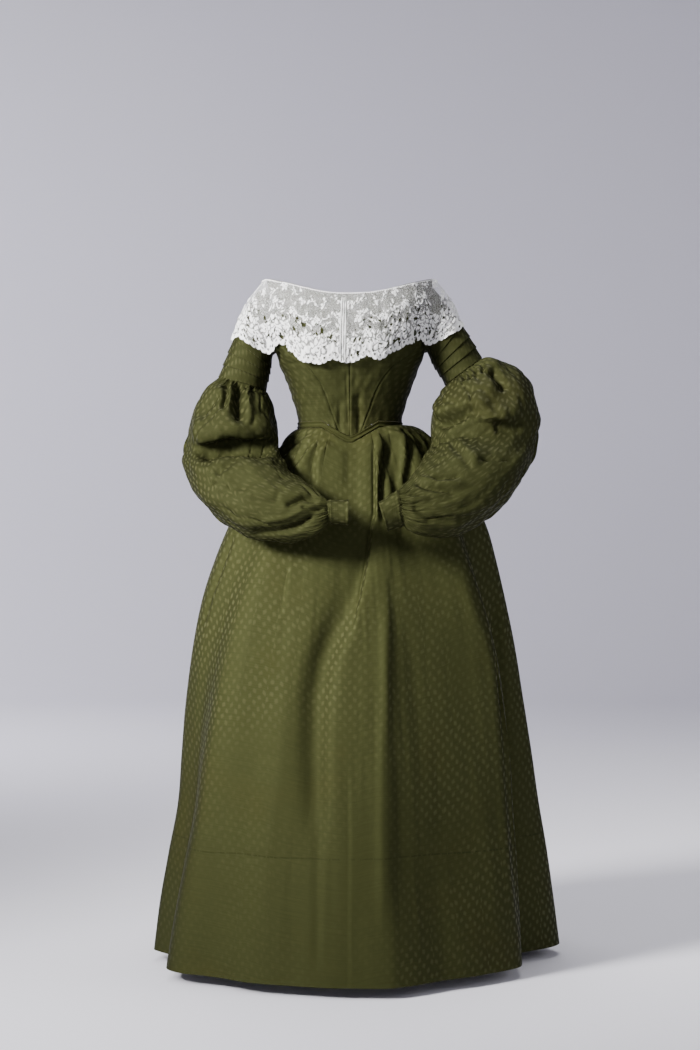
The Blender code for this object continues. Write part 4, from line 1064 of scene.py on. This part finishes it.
def makePuff(name, side):
    sections = metres(sleeve["puff"][name])
    bandEnd, cuffStart = metres(sleeve["upper"][name][-1]), metres(sleeve["cuff"][name][0])
    columns = sleeve["columns"]
    bandRing = sectionRings([bandEnd], columns, sleeve["tucks"]["step"])
    cuffRing = sectionRings([cuffStart], columns)
    down, back = sectionAxis(bandEnd), -sectionAxis(cuffStart)
    near, far = sleeve["joins"]
    rings = np.concatenate([
        bandRing + down * near, bandRing + down * far, sectionRings(sections, columns),
        cuffRing + back * far, cuffRing + back * near,
    ])
    count = len(rings) - 1
    places = np.unique(np.concatenate([
        np.linspace(0, 1, 3), np.linspace(1, 2, 9),
        np.linspace(2, count - 2, (count - 4) * sleeve["rowsPerSection"] + 1),
        np.linspace(count - 2, count - 1, 9), np.linspace(count - 1, count, 3),
    ]))
    grid = throughRows(rings, places)
    moved = skirtFront(grid[..., 0], grid[..., 2])
    under = grid[..., 2] < -0.012
    grid[..., 1] = np.where(under, np.minimum(grid[..., 1], moved), grid[..., 1])
    normals = gridNormals(grid, closed=True)
    gathers = sleeve["gathers"]
    fromTop = alongGrid(grid, 0)
    fromEnd = fromTop[-1:] - fromTop
    rng = np.random.default_rng(40 + side)
    turn = np.arange(columns) / columns * gathers["count"]
    turn = turn + gathers["uneven"] * softNoise(np.arange(columns) / columns * 64, np.zeros(columns), 41)
    number = np.floor(turn).astype(int) % gathers["count"]
    wave = 0.5 - 0.5 * np.cos(2 * np.pi * turn)
    relief = np.zeros(grid.shape[:2])
    for away in (fromTop, fromEnd):
        length = gathers["length"] * rng.uniform(0.35, 1.7, gathers["count"])[number]
        depth = gathers["depth"] * rng.uniform(0.5, 1.2, gathers["count"])[number]
        relief -= (depth * wave)[None] * np.exp(-(away / length[None]) ** 1.3) * ease(away / 0.004)
    around = roundTurns(columns)
    cloth = sleeve["cloth"]
    middle = ease(fromTop / cloth["calmEnds"]) * ease(fromEnd / cloth["calmEnds"])
    relief += middle * cloth["swell"] * softNoise(around / 4, fromTop * 26, 43 + side)
    crease = softNoise(around / 3.2 + fromTop * 8, fromTop * 20, 47 + side)
    creased = ease(0.5 + softNoise(around / 6, fromTop * 12, 49))
    relief -= middle * cloth["crease"] * np.exp(-(crease / cloth["creaseWidth"]) ** 2) * creased
    relief += cloth["ripple"] * middle * softNoise(around, fromTop * 60, 45)
    folds = foldRelief(grid, normals, sleeve["folds"][name])
    relief += cloth["foldGain"] * folds * ease(fromTop / 0.006) * ease(fromEnd / 0.006)
    grid = grid + normals * relief[..., None]
    ends = [camel("upper_sleeve_" + name), camel("cuff_" + name)]
    finishSleeve("sleeve_puff_" + name, grid, (0.55, 0.42), "gathered", ends)


def makeCuff(name):
    columns = sleeve["columns"]
    rows = sleeve["cuffRows"] + 1
    fine = throughRows(metres(sleeve["cuff"][name]), np.linspace(0, 2, rows))
    share = np.linspace(0, 1, rows)[:, None]
    cords = [proud * np.exp(-((share - at) / sleeve["cordWidth"]) ** 2) for at, proud in sleeve["cuffCords"]]
    ripple = sleeve["cuffRipple"] * softNoise(roundTurns(columns) * 2, share * 2 + 3, 51) * (1 - share)
    proud = sum(cords) + ripple
    grid = sectionRings(fine, columns, proud)
    rest = [camel("sleeve_puff_" + name)]
    finishSleeve("cuff_" + name, grid, (0.16, 0.040), "stretched", rest, sleeve["cuffWall"])


upperGrids = []
for name, side in (("left", -1), ("right", 1)):
    upperGrids.append(makeUpperSleeve(name, side))
    makePuff(name, side)
    makeCuff(name)
print("sleeves made")

# Lace bertha

lace = dict(
    # angle of the neck point, then the lower edge hanging from it
    edges=dict(
        left=[
            (0, -0.4, -126, 110), (14, -30, -125, 115), (28, -60, -120, 109), (38, -84, -110, 113),
            (50, -112, -90, 134), (60, -131, -68, 149), (68, -152, -52, 134), (76, -178, -47, 143),
            (84, -206, -34, 161), (92, -226, -2, 166), (102, -205, 36, 160), (112, -175, 51, 147),
            (124, -140, 70, 150), (140, -98, 90, 137), (160, -48, 96, 130), (180, -0.4, 98, 134),
        ],
        right=[
            (0, 0.4, -126, 110), (14, 28, -125, 121), (28, 58, -120, 118), (38, 82, -110, 133),
            (50, 110, -90, 147), (60, 127, -68, 157), (68, 146, -54, 150), (76, 170, -48, 157),
            (84, 196, -34, 172), (92, 214, -2, 186), (102, 196, 36, 178), (112, 170, 51, 165),
            (124, 137, 70, 160), (140, 98, 90, 145), (160, 48, 96, 136), (180, 0.4, 98, 134),
        ],
    ),
    clearance=0.0040, bulge=0.012, spacing=0.00125, depth=0.150,
    unit=50.0, flower=16.0, lobe=10.5, sprigs=18, gaps=3.2,  # how far apart, in millimetres
    net=0.46, ground=0.82, plainNet=0.45,  # how close the work is
    folds=dict(left=[(-119, 3.0), (-212, 2.0)], right=[(124, 3.0), (205, 2.0)]),  # across, and how deep
)


def coverTree():  # bodice and upper sleeves with their faces outwards, for the lace to lie on
    points, faces = [], []
    for grid, closed in [(g, False) for g in bodiceGrids.values()] + [(g, True) for g in upperGrids]:
        grid = grid[::3, ::3]
        rows, columns = grid.shape[:2]
        start = len(points)
        points += [Vector(p) for p in grid.reshape(-1, 3)]
        middle = grid[0].mean(axis=0) if closed else grid[0, 1] * (0, 0, 1)
        spin = np.cross(grid[1, 1] - grid[0, 1], grid[0, 2] - grid[0, 1]).dot(grid[0, 1] - middle)
        for row in range(rows - 1):
            upper, lower = start + row * columns, start + (row + 1) * columns
            for first in range(columns if closed else columns - 1):
                last = (first + 1) % columns
                quad = [upper + first, upper + last, lower + last, lower + first]
                faces.append(quad if spin < 0 else quad[::-1])
    return BVHTree.FromPolygons(points, faces)


cover = coverTree()


def liftClear(point):
    for _ in range(4):
        nearest, normal, _, _ = cover.find_nearest(point)
        height = (point - nearest).dot(normal)
        if height >= lace["clearance"]:
            return point
        point = point + normal * (lace["clearance"] - height + 0.0001)
    return point


def laceCoarse(name, side):
    angles = np.linspace(0, 180, 73)
    turns, *places = metres(lace["edges"][name], (1, 1000, 1000, 1000)).T
    low = np.stack([curveThrough(turns, place, angles) for place in places], axis=-1)
    top = bodicePoint(side * angles, neckHeight(angles) - 0.0005, lace["clearance"])
    outward = top * (1, 1, 0)
    outward /= np.linalg.norm(outward, axis=-1, keepdims=True)
    shares = np.linspace(0, 1, 15)
    bulges = lace["bulge"] * np.sin(np.pi * shares)
    grid = np.array([top + (low - top) * share + outward * bulge for share, bulge in zip(shares, bulges)])
    for i in range(grid.shape[0]):
        for j in range(grid.shape[1]):
            grid[i, j] = liftClear(Vector(grid[i, j]))
    soft = grid.copy()
    around = grid[:-2, 1:-1] + grid[2:, 1:-1] + grid[1:-1, :-2] + grid[1:-1, 2:]
    soft[1:-1, 1:-1] = (grid[1:-1, 1:-1] * 2 + around) / 6
    return soft


# The lace design is painted in millimetres: u along the neck from the centre front, w up from the edge
class Design:
    def __init__(self, u, v, w):
        self.u, self.v, self.w = u, v, w
        self.density = np.full(u.shape, lace["net"])
        self.relief = np.zeros(u.shape)

    def near(self, x, y, reach):
        return (np.abs(self.u - x) < reach) & (np.abs(self.w - y) < reach)

    def lay(self, pick, mask, value=1.0, height=0.4):
        self.density[pick] = mix(self.density[pick], value, mask)
        self.relief[pick] = np.maximum(self.relief[pick], mask * height)

    def petal(self, x, y, turn, length, width, value=0.95, height=0.5):
        pick = self.near(x, y, length + width)
        dx, dy = self.u[pick] - x, self.w[pick] - y
        along = dx * math.cos(turn) + dy * math.sin(turn) - length / 2
        across = -dx * math.sin(turn) + dy * math.cos(turn)
        reach = np.hypot(along / (length / 2), across / (width / 2))
        halo = ease((reach - 1.05) / 0.12) * ease((1.75 - reach) / 0.4)
        self.density[pick] = mix(self.density[pick], np.minimum(self.density[pick], 0.44), halo)
        self.lay(pick, ease((1.12 - reach) / 0.24), value, height)
        rim = np.exp(-((reach - 0.92) / 0.16) ** 2)
        self.relief[pick] += 0.25 * rim

    def ring(self, x, y, radius, thick, value=1.0, hole=None):
        pick = self.near(x, y, radius + thick * 2)
        away = np.hypot(self.u[pick] - x, self.w[pick] - y)
        if hole is not None:
            self.density[pick] = np.where(away < radius, hole, self.density[pick])
        self.lay(pick, ease((thick - np.abs(away - radius)) / (0.5 * thick)), value, 0.6)

    def cord(self, path, thick, value=1.0, height=0.7):
        (left, low), (right, high) = np.min(path, axis=0) - 3, np.max(path, axis=0) + 3
        pick = (self.u > left) & (self.u < right) & (self.w > low) & (self.w < high)
        if pick.any():
            away, _, _ = lineDistance(self.u[pick], self.w[pick], path)
            self.lay(pick, ease((thick * 1.5 - away) / thick), value, height)

    def flower(self, x, y, radius, petals, turn=0.0):
        for k in range(petals):
            self.petal(x, y, turn + 2 * math.pi * k / petals, radius, radius * 2.3 / petals + radius * 0.18)
        self.ring(x, y, radius * 0.22, radius * 0.10, hole=0.25 if radius > 9 else 0.6)

    def spray(self, x, y, turn, length, pairs, bend=0.5):
        path = []
        for k in range(pairs + 2):
            share = k / (pairs + 1)
            angle = turn + bend * share
            path.append((x + math.cos(angle) * length * share, y + math.sin(angle) * length * share))
        self.cord(path, 0.9)
        for k, (px, py) in enumerate(path[1:], 1):
            angle = turn + bend * k / (pairs + 1)
            size = length * 0.30 * (1 - 0.4 * k / (pairs + 1))
            for way in (-0.9, 0.9) if k <= pairs else (0.0,):
                self.petal(px, py, angle + way, size, size * 0.5)

    def scroll(self, x, y, radius, turn, way):
        path = []
        for k in range(15):
            angle = turn + way * k * 0.42
            reach = radius * (1 - k / 18)
            path.append((x + reach * math.cos(angle), y + reach * math.sin(angle)))
        self.cord(path, 1.1)


def paintLace(u, v, w, rng):
    design = Design(u, v, w)
    span = float(u.max())
    unit = lace["unit"]
    # clothwork ground in the lower part, open net above, ragged where they meet
    border = 54 + 18 * softNoise(u / 19 + 9, v * 0, 61) + 6 * softNoise(u / 5, v / 5, 62)
    border = border + 18 * ease((u - 105) / 30)  # the clothwork reaches higher over the shoulders
    ground = ease((border - w) / 8)
    design.density = mix(lace["net"], lace["ground"], ground)
    fill = softNoise(u / 5.4 + 30, w / 5.4 + 30, 63)
    design.density -= ground * 0.42 * ease((fill - 0.32) / 0.2)
    count = int(span / unit) + 2
    for k in range(-1, count + 1):
        x = k * unit + 8
        design.spray(x + 20, 26, 1.2, 44, 4, -0.7)
        design.scroll(x + 24, 60, 14, 0.4, 1)
        design.scroll(x - 8, 74, 10, 2.6, -1)
        design.flower(x, 30, lace["flower"], 7, 0.3 * k)
        design.flower(x + 25, 48, 12.5, 6, 0.5 * k)
        design.flower(x + 9, 80, 11.0, 5, 0.2 * k)
        design.spray(x + 36, 72, 2.0, 32, 3, 0.5)
        design.flower(x - 6, 112, 9.0, 5, 0.4 * k)
        design.spray(x + 8, 110, 0.2, 22, 2, 0.5)
    for k in range(int(span / lace["sprigs"]) + 2):  # small sprigs scattered on the net
        x, y = k * lace["sprigs"] + rng.uniform(-4, 4), rng.uniform(84, 140)
        design.petal(x, y, rng.uniform(0, 6.28), rng.uniform(7, 11), rng.uniform(3.5, 5))
    # patches of plain net between the sprays
    plain = ease((softNoise(u / 15 + 5, w / 11 + 2, 65) - 0.12) / 0.12)
    plain = plain * ease((w - 50) / 8) * ease((v - 9) / 4)
    design.density = mix(design.density, lace["plainNet"], plain)
    design.relief *= 1 - plain
    # rings and fans along the edge
    for k in range(int(span / lace["lobe"]) + 2):
        design.ring(k * lace["lobe"] + 5.2, 9.5, 3.0, 1.0, hole=0.15 if k % 3 == 1 else 0.40)
    design.density = np.where(w < 4.5, np.maximum(design.density, 0.86), design.density)
    for _ in range(int(span / lace["gaps"])):  # open gaps between the sprigs
        x, y = rng.uniform(0, span), rng.uniform(12, 75)
        size = rng.uniform(1.5, 3.2)
        pick = design.near(x, y, 6)
        away = np.hypot(design.u[pick] - x, (design.w[pick] - y) * rng.uniform(0.6, 1.6))
        design.density[pick] = np.where(away < size, 0.1, design.density[pick])
    # heading along the neck
    head = ease((2.6 + 0.9 * np.sin(2 * np.pi * u / 5.2) - v) / 1.2)
    design.density = mix(design.density, 0.80, head)
    design.relief = np.maximum(design.relief, head * 0.4)
    return design


def makeLace(name, side):
    coarse = laceCoarse(name, side)
    middle = np.concatenate([[0], np.cumsum(np.linalg.norm(np.diff(coarse[8], axis=0), axis=-1))])
    columns = int(middle[-1] / lace["spacing"])
    rows = int(lace["depth"] / lace["spacing"])
    wanted = np.interp(np.linspace(0, middle[-1], columns + 1), middle, np.arange(coarse.shape[1]))
    grid = throughRows(coarse, np.linspace(0, coarse.shape[0] - 1, rows + 1))
    grid = throughRows(grid.swapaxes(0, 1), wanted).swapaxes(0, 1)
    v = alongGrid(grid, 0) * 1000
    total = v[-1:]
    u = np.broadcast_to(np.linspace(0, middle[-1], columns + 1)[None] * 1000, v.shape)
    lobes = 4.2 * np.sqrt(np.abs(np.sin(np.pi * u / lace["lobe"])))
    lobes += 4.0 * np.abs(np.sin(np.pi * u / 42 + 0.6)) + 0.9 * np.abs(np.sin(np.pi * u / 3.5))
    w = total - v - 8.6 + lobes
    rng = np.random.default_rng(70 + side)
    design = paintLace(u, v, w, rng)
    density = np.where(w < 0, 0.0, design.density)
    if side < 0:  # ribbed band worked beside the centre front
        bandMask = ease((u - 5) / 1.5) * ease((20 - u) / 1.5) * ease((v - 8) / 4) * ease(w / 3)
        ribs = 0.5 + 0.5 * np.cos(2 * np.pi * u / 4.4)
        density = mix(density, 0.52 + 0.24 * ribs + 0.10 * softNoise(u, v / 9, 66), bandMask)
        design.relief = mix(design.relief, 0.9 * ribs, bandMask)
    normals = gridNormals(grid)
    x, z = grid[..., 0] * 1000, grid[..., 2] * 1000
    relief = design.relief / 1000 * 1.3
    hang = ease(v / 60)
    relief += hang * (0.0022 * softNoise(u / 13 + 3, v / 40, 81) + 0.0009 * softNoise(u / 5, v / 9, 82))
    falling = ease((v - 25) / 60) * (grid[..., 1] < 0)
    for foldX, depth in lace["folds"][name]:
        away = x - foldX - (z - 200) * -0.06 * side
        relief -= depth / 1000 * np.exp(-(away / 6.0) ** 2) * falling
    grid = grid + normals * relief[..., None]
    uv = np.stack([u, v], axis=-1) / 1000
    piece = clothPiece(camel("lace_" + name), grid, uv, laceThread, attributes={"clothwork": density})
    rest = [camel("front_centre_" + name), camel("upper_sleeve_" + name)]
    declare(
        piece, ["lace_" + part + "_" + name for part in ("front", "shoulder", "back")], "lace",
        flat=(0.56, 0.155), held="hung", rests_on=rest,
    )


for name, side in (("left", -1), ("right", 1)):
    makeLace(name, side)
print("lace made")

# Studio, light and camera

studio = dict(
    floor=-1.003, radius=5.6, curve=1.6, wallTop=5.0, columns=96, curveSteps=12,
    paper=(0.81, 0.80, 0.865, 1.0), air=(0.80, 0.79, 0.88, 1.0), airStrength=0.16,
)


def makeStudio():
    radius, curve, columns, steps = (studio[key] for key in ("radius", "curve", "columns", "curveSteps"))
    profile = [(radius, 0.0)]
    for turn in np.linspace(0, math.pi / 2, steps + 1)[1:]:
        profile.append((radius + curve * math.sin(turn), curve * (1 - math.cos(turn))))
    profile.append((radius + curve, studio["wallTop"]))
    angles = np.linspace(0, 2 * np.pi, columns + 1)[:-1]
    points, faces = [(0.0, 0.0, studio["floor"])], []
    for reach, height in profile:
        points += [(reach * math.cos(a), reach * math.sin(a), studio["floor"] + height) for a in angles]
    for column in range(columns):
        after = (column + 1) % columns
        faces.append((0, 1 + column, 1 + after))
        for row in range(len(profile) - 1):
            first, last = 1 + row * columns + column, 1 + row * columns + after
            faces.append((first, first + columns, last + columns, last))
    mesh = bpy.data.meshes.new("studioSweep")
    mesh.from_pydata(points, [], faces)
    mesh.shade_smooth()
    material, nodes, shader = newMaterial("studioPaper")
    nodes.fill(shader, {"Base Color": studio["paper"], "Roughness": 0.9})
    mesh.materials.append(material)
    placed("studioSweep", mesh)


makeStudio()

world = bpy.data.worlds.new("studioAir")
bpy.context.scene.world = world
world.use_nodes = True
air = world.node_tree.nodes["Background"]
air.inputs["Color"].default_value = studio["air"]
air.inputs["Strength"].default_value = studio["airStrength"]

lights = dict(  # place, aim, size, watts, colour, spread in degrees
    key=((-2.68, -1.98, 1.35), (-0.10, -0.10, 0.02), 1.1, 36.0, (1.0, 0.99, 0.97), 46.0),
    fill=((3.3, -0.7, 0.9), (0.0, 0.0, -0.1), 2.0, 24.0, (1.0, 1.0, 0.98), 180.0),
    top=((0.2, 0.9, 3.6), (0.0, -1.2, -1.0), 3.2, 132.0, (1.0, 1.0, 1.0), 180.0),
    floorWash=((-2.4, -1.9, 2.2), (-1.6, -1.4, -1.0), 1.5, 34.0, (1.0, 1.0, 1.0), 60.0),
    backdrop=((-2.5, 3.0, 1.7), (-1.7, 6.2, -0.5), 2.4, 150.0, (0.95, 0.94, 1.0), 180.0),
)
for name, (place, aim, size, watts, colour, spread) in lights.items():
    lamp = bpy.data.lights.new(name + "Light", "AREA")
    lamp.shape = "DISK"
    lamp.size = size
    lamp.energy = watts
    lamp.color = colour
    lamp.spread = math.radians(spread)
    item = placed(name + "Light", lamp)
    item.location = place
    item.rotation_euler = (Vector(aim) - Vector(place)).to_track_quat("-Z", "Y").to_euler()
    item.visible_camera = False

view = dict(place=(0.0, -3.85, -0.186), lens=69.4)
camera = placed("camera", bpy.data.cameras.new("camera"))
camera.location = view["place"]
camera.rotation_euler = (math.pi / 2, 0.0, 0.0)
camera.data.lens = view["lens"]
camera.data.sensor_width = 36.0
camera.data.clip_end = 60.0
bpy.context.scene.camera = camera
print("studio made")
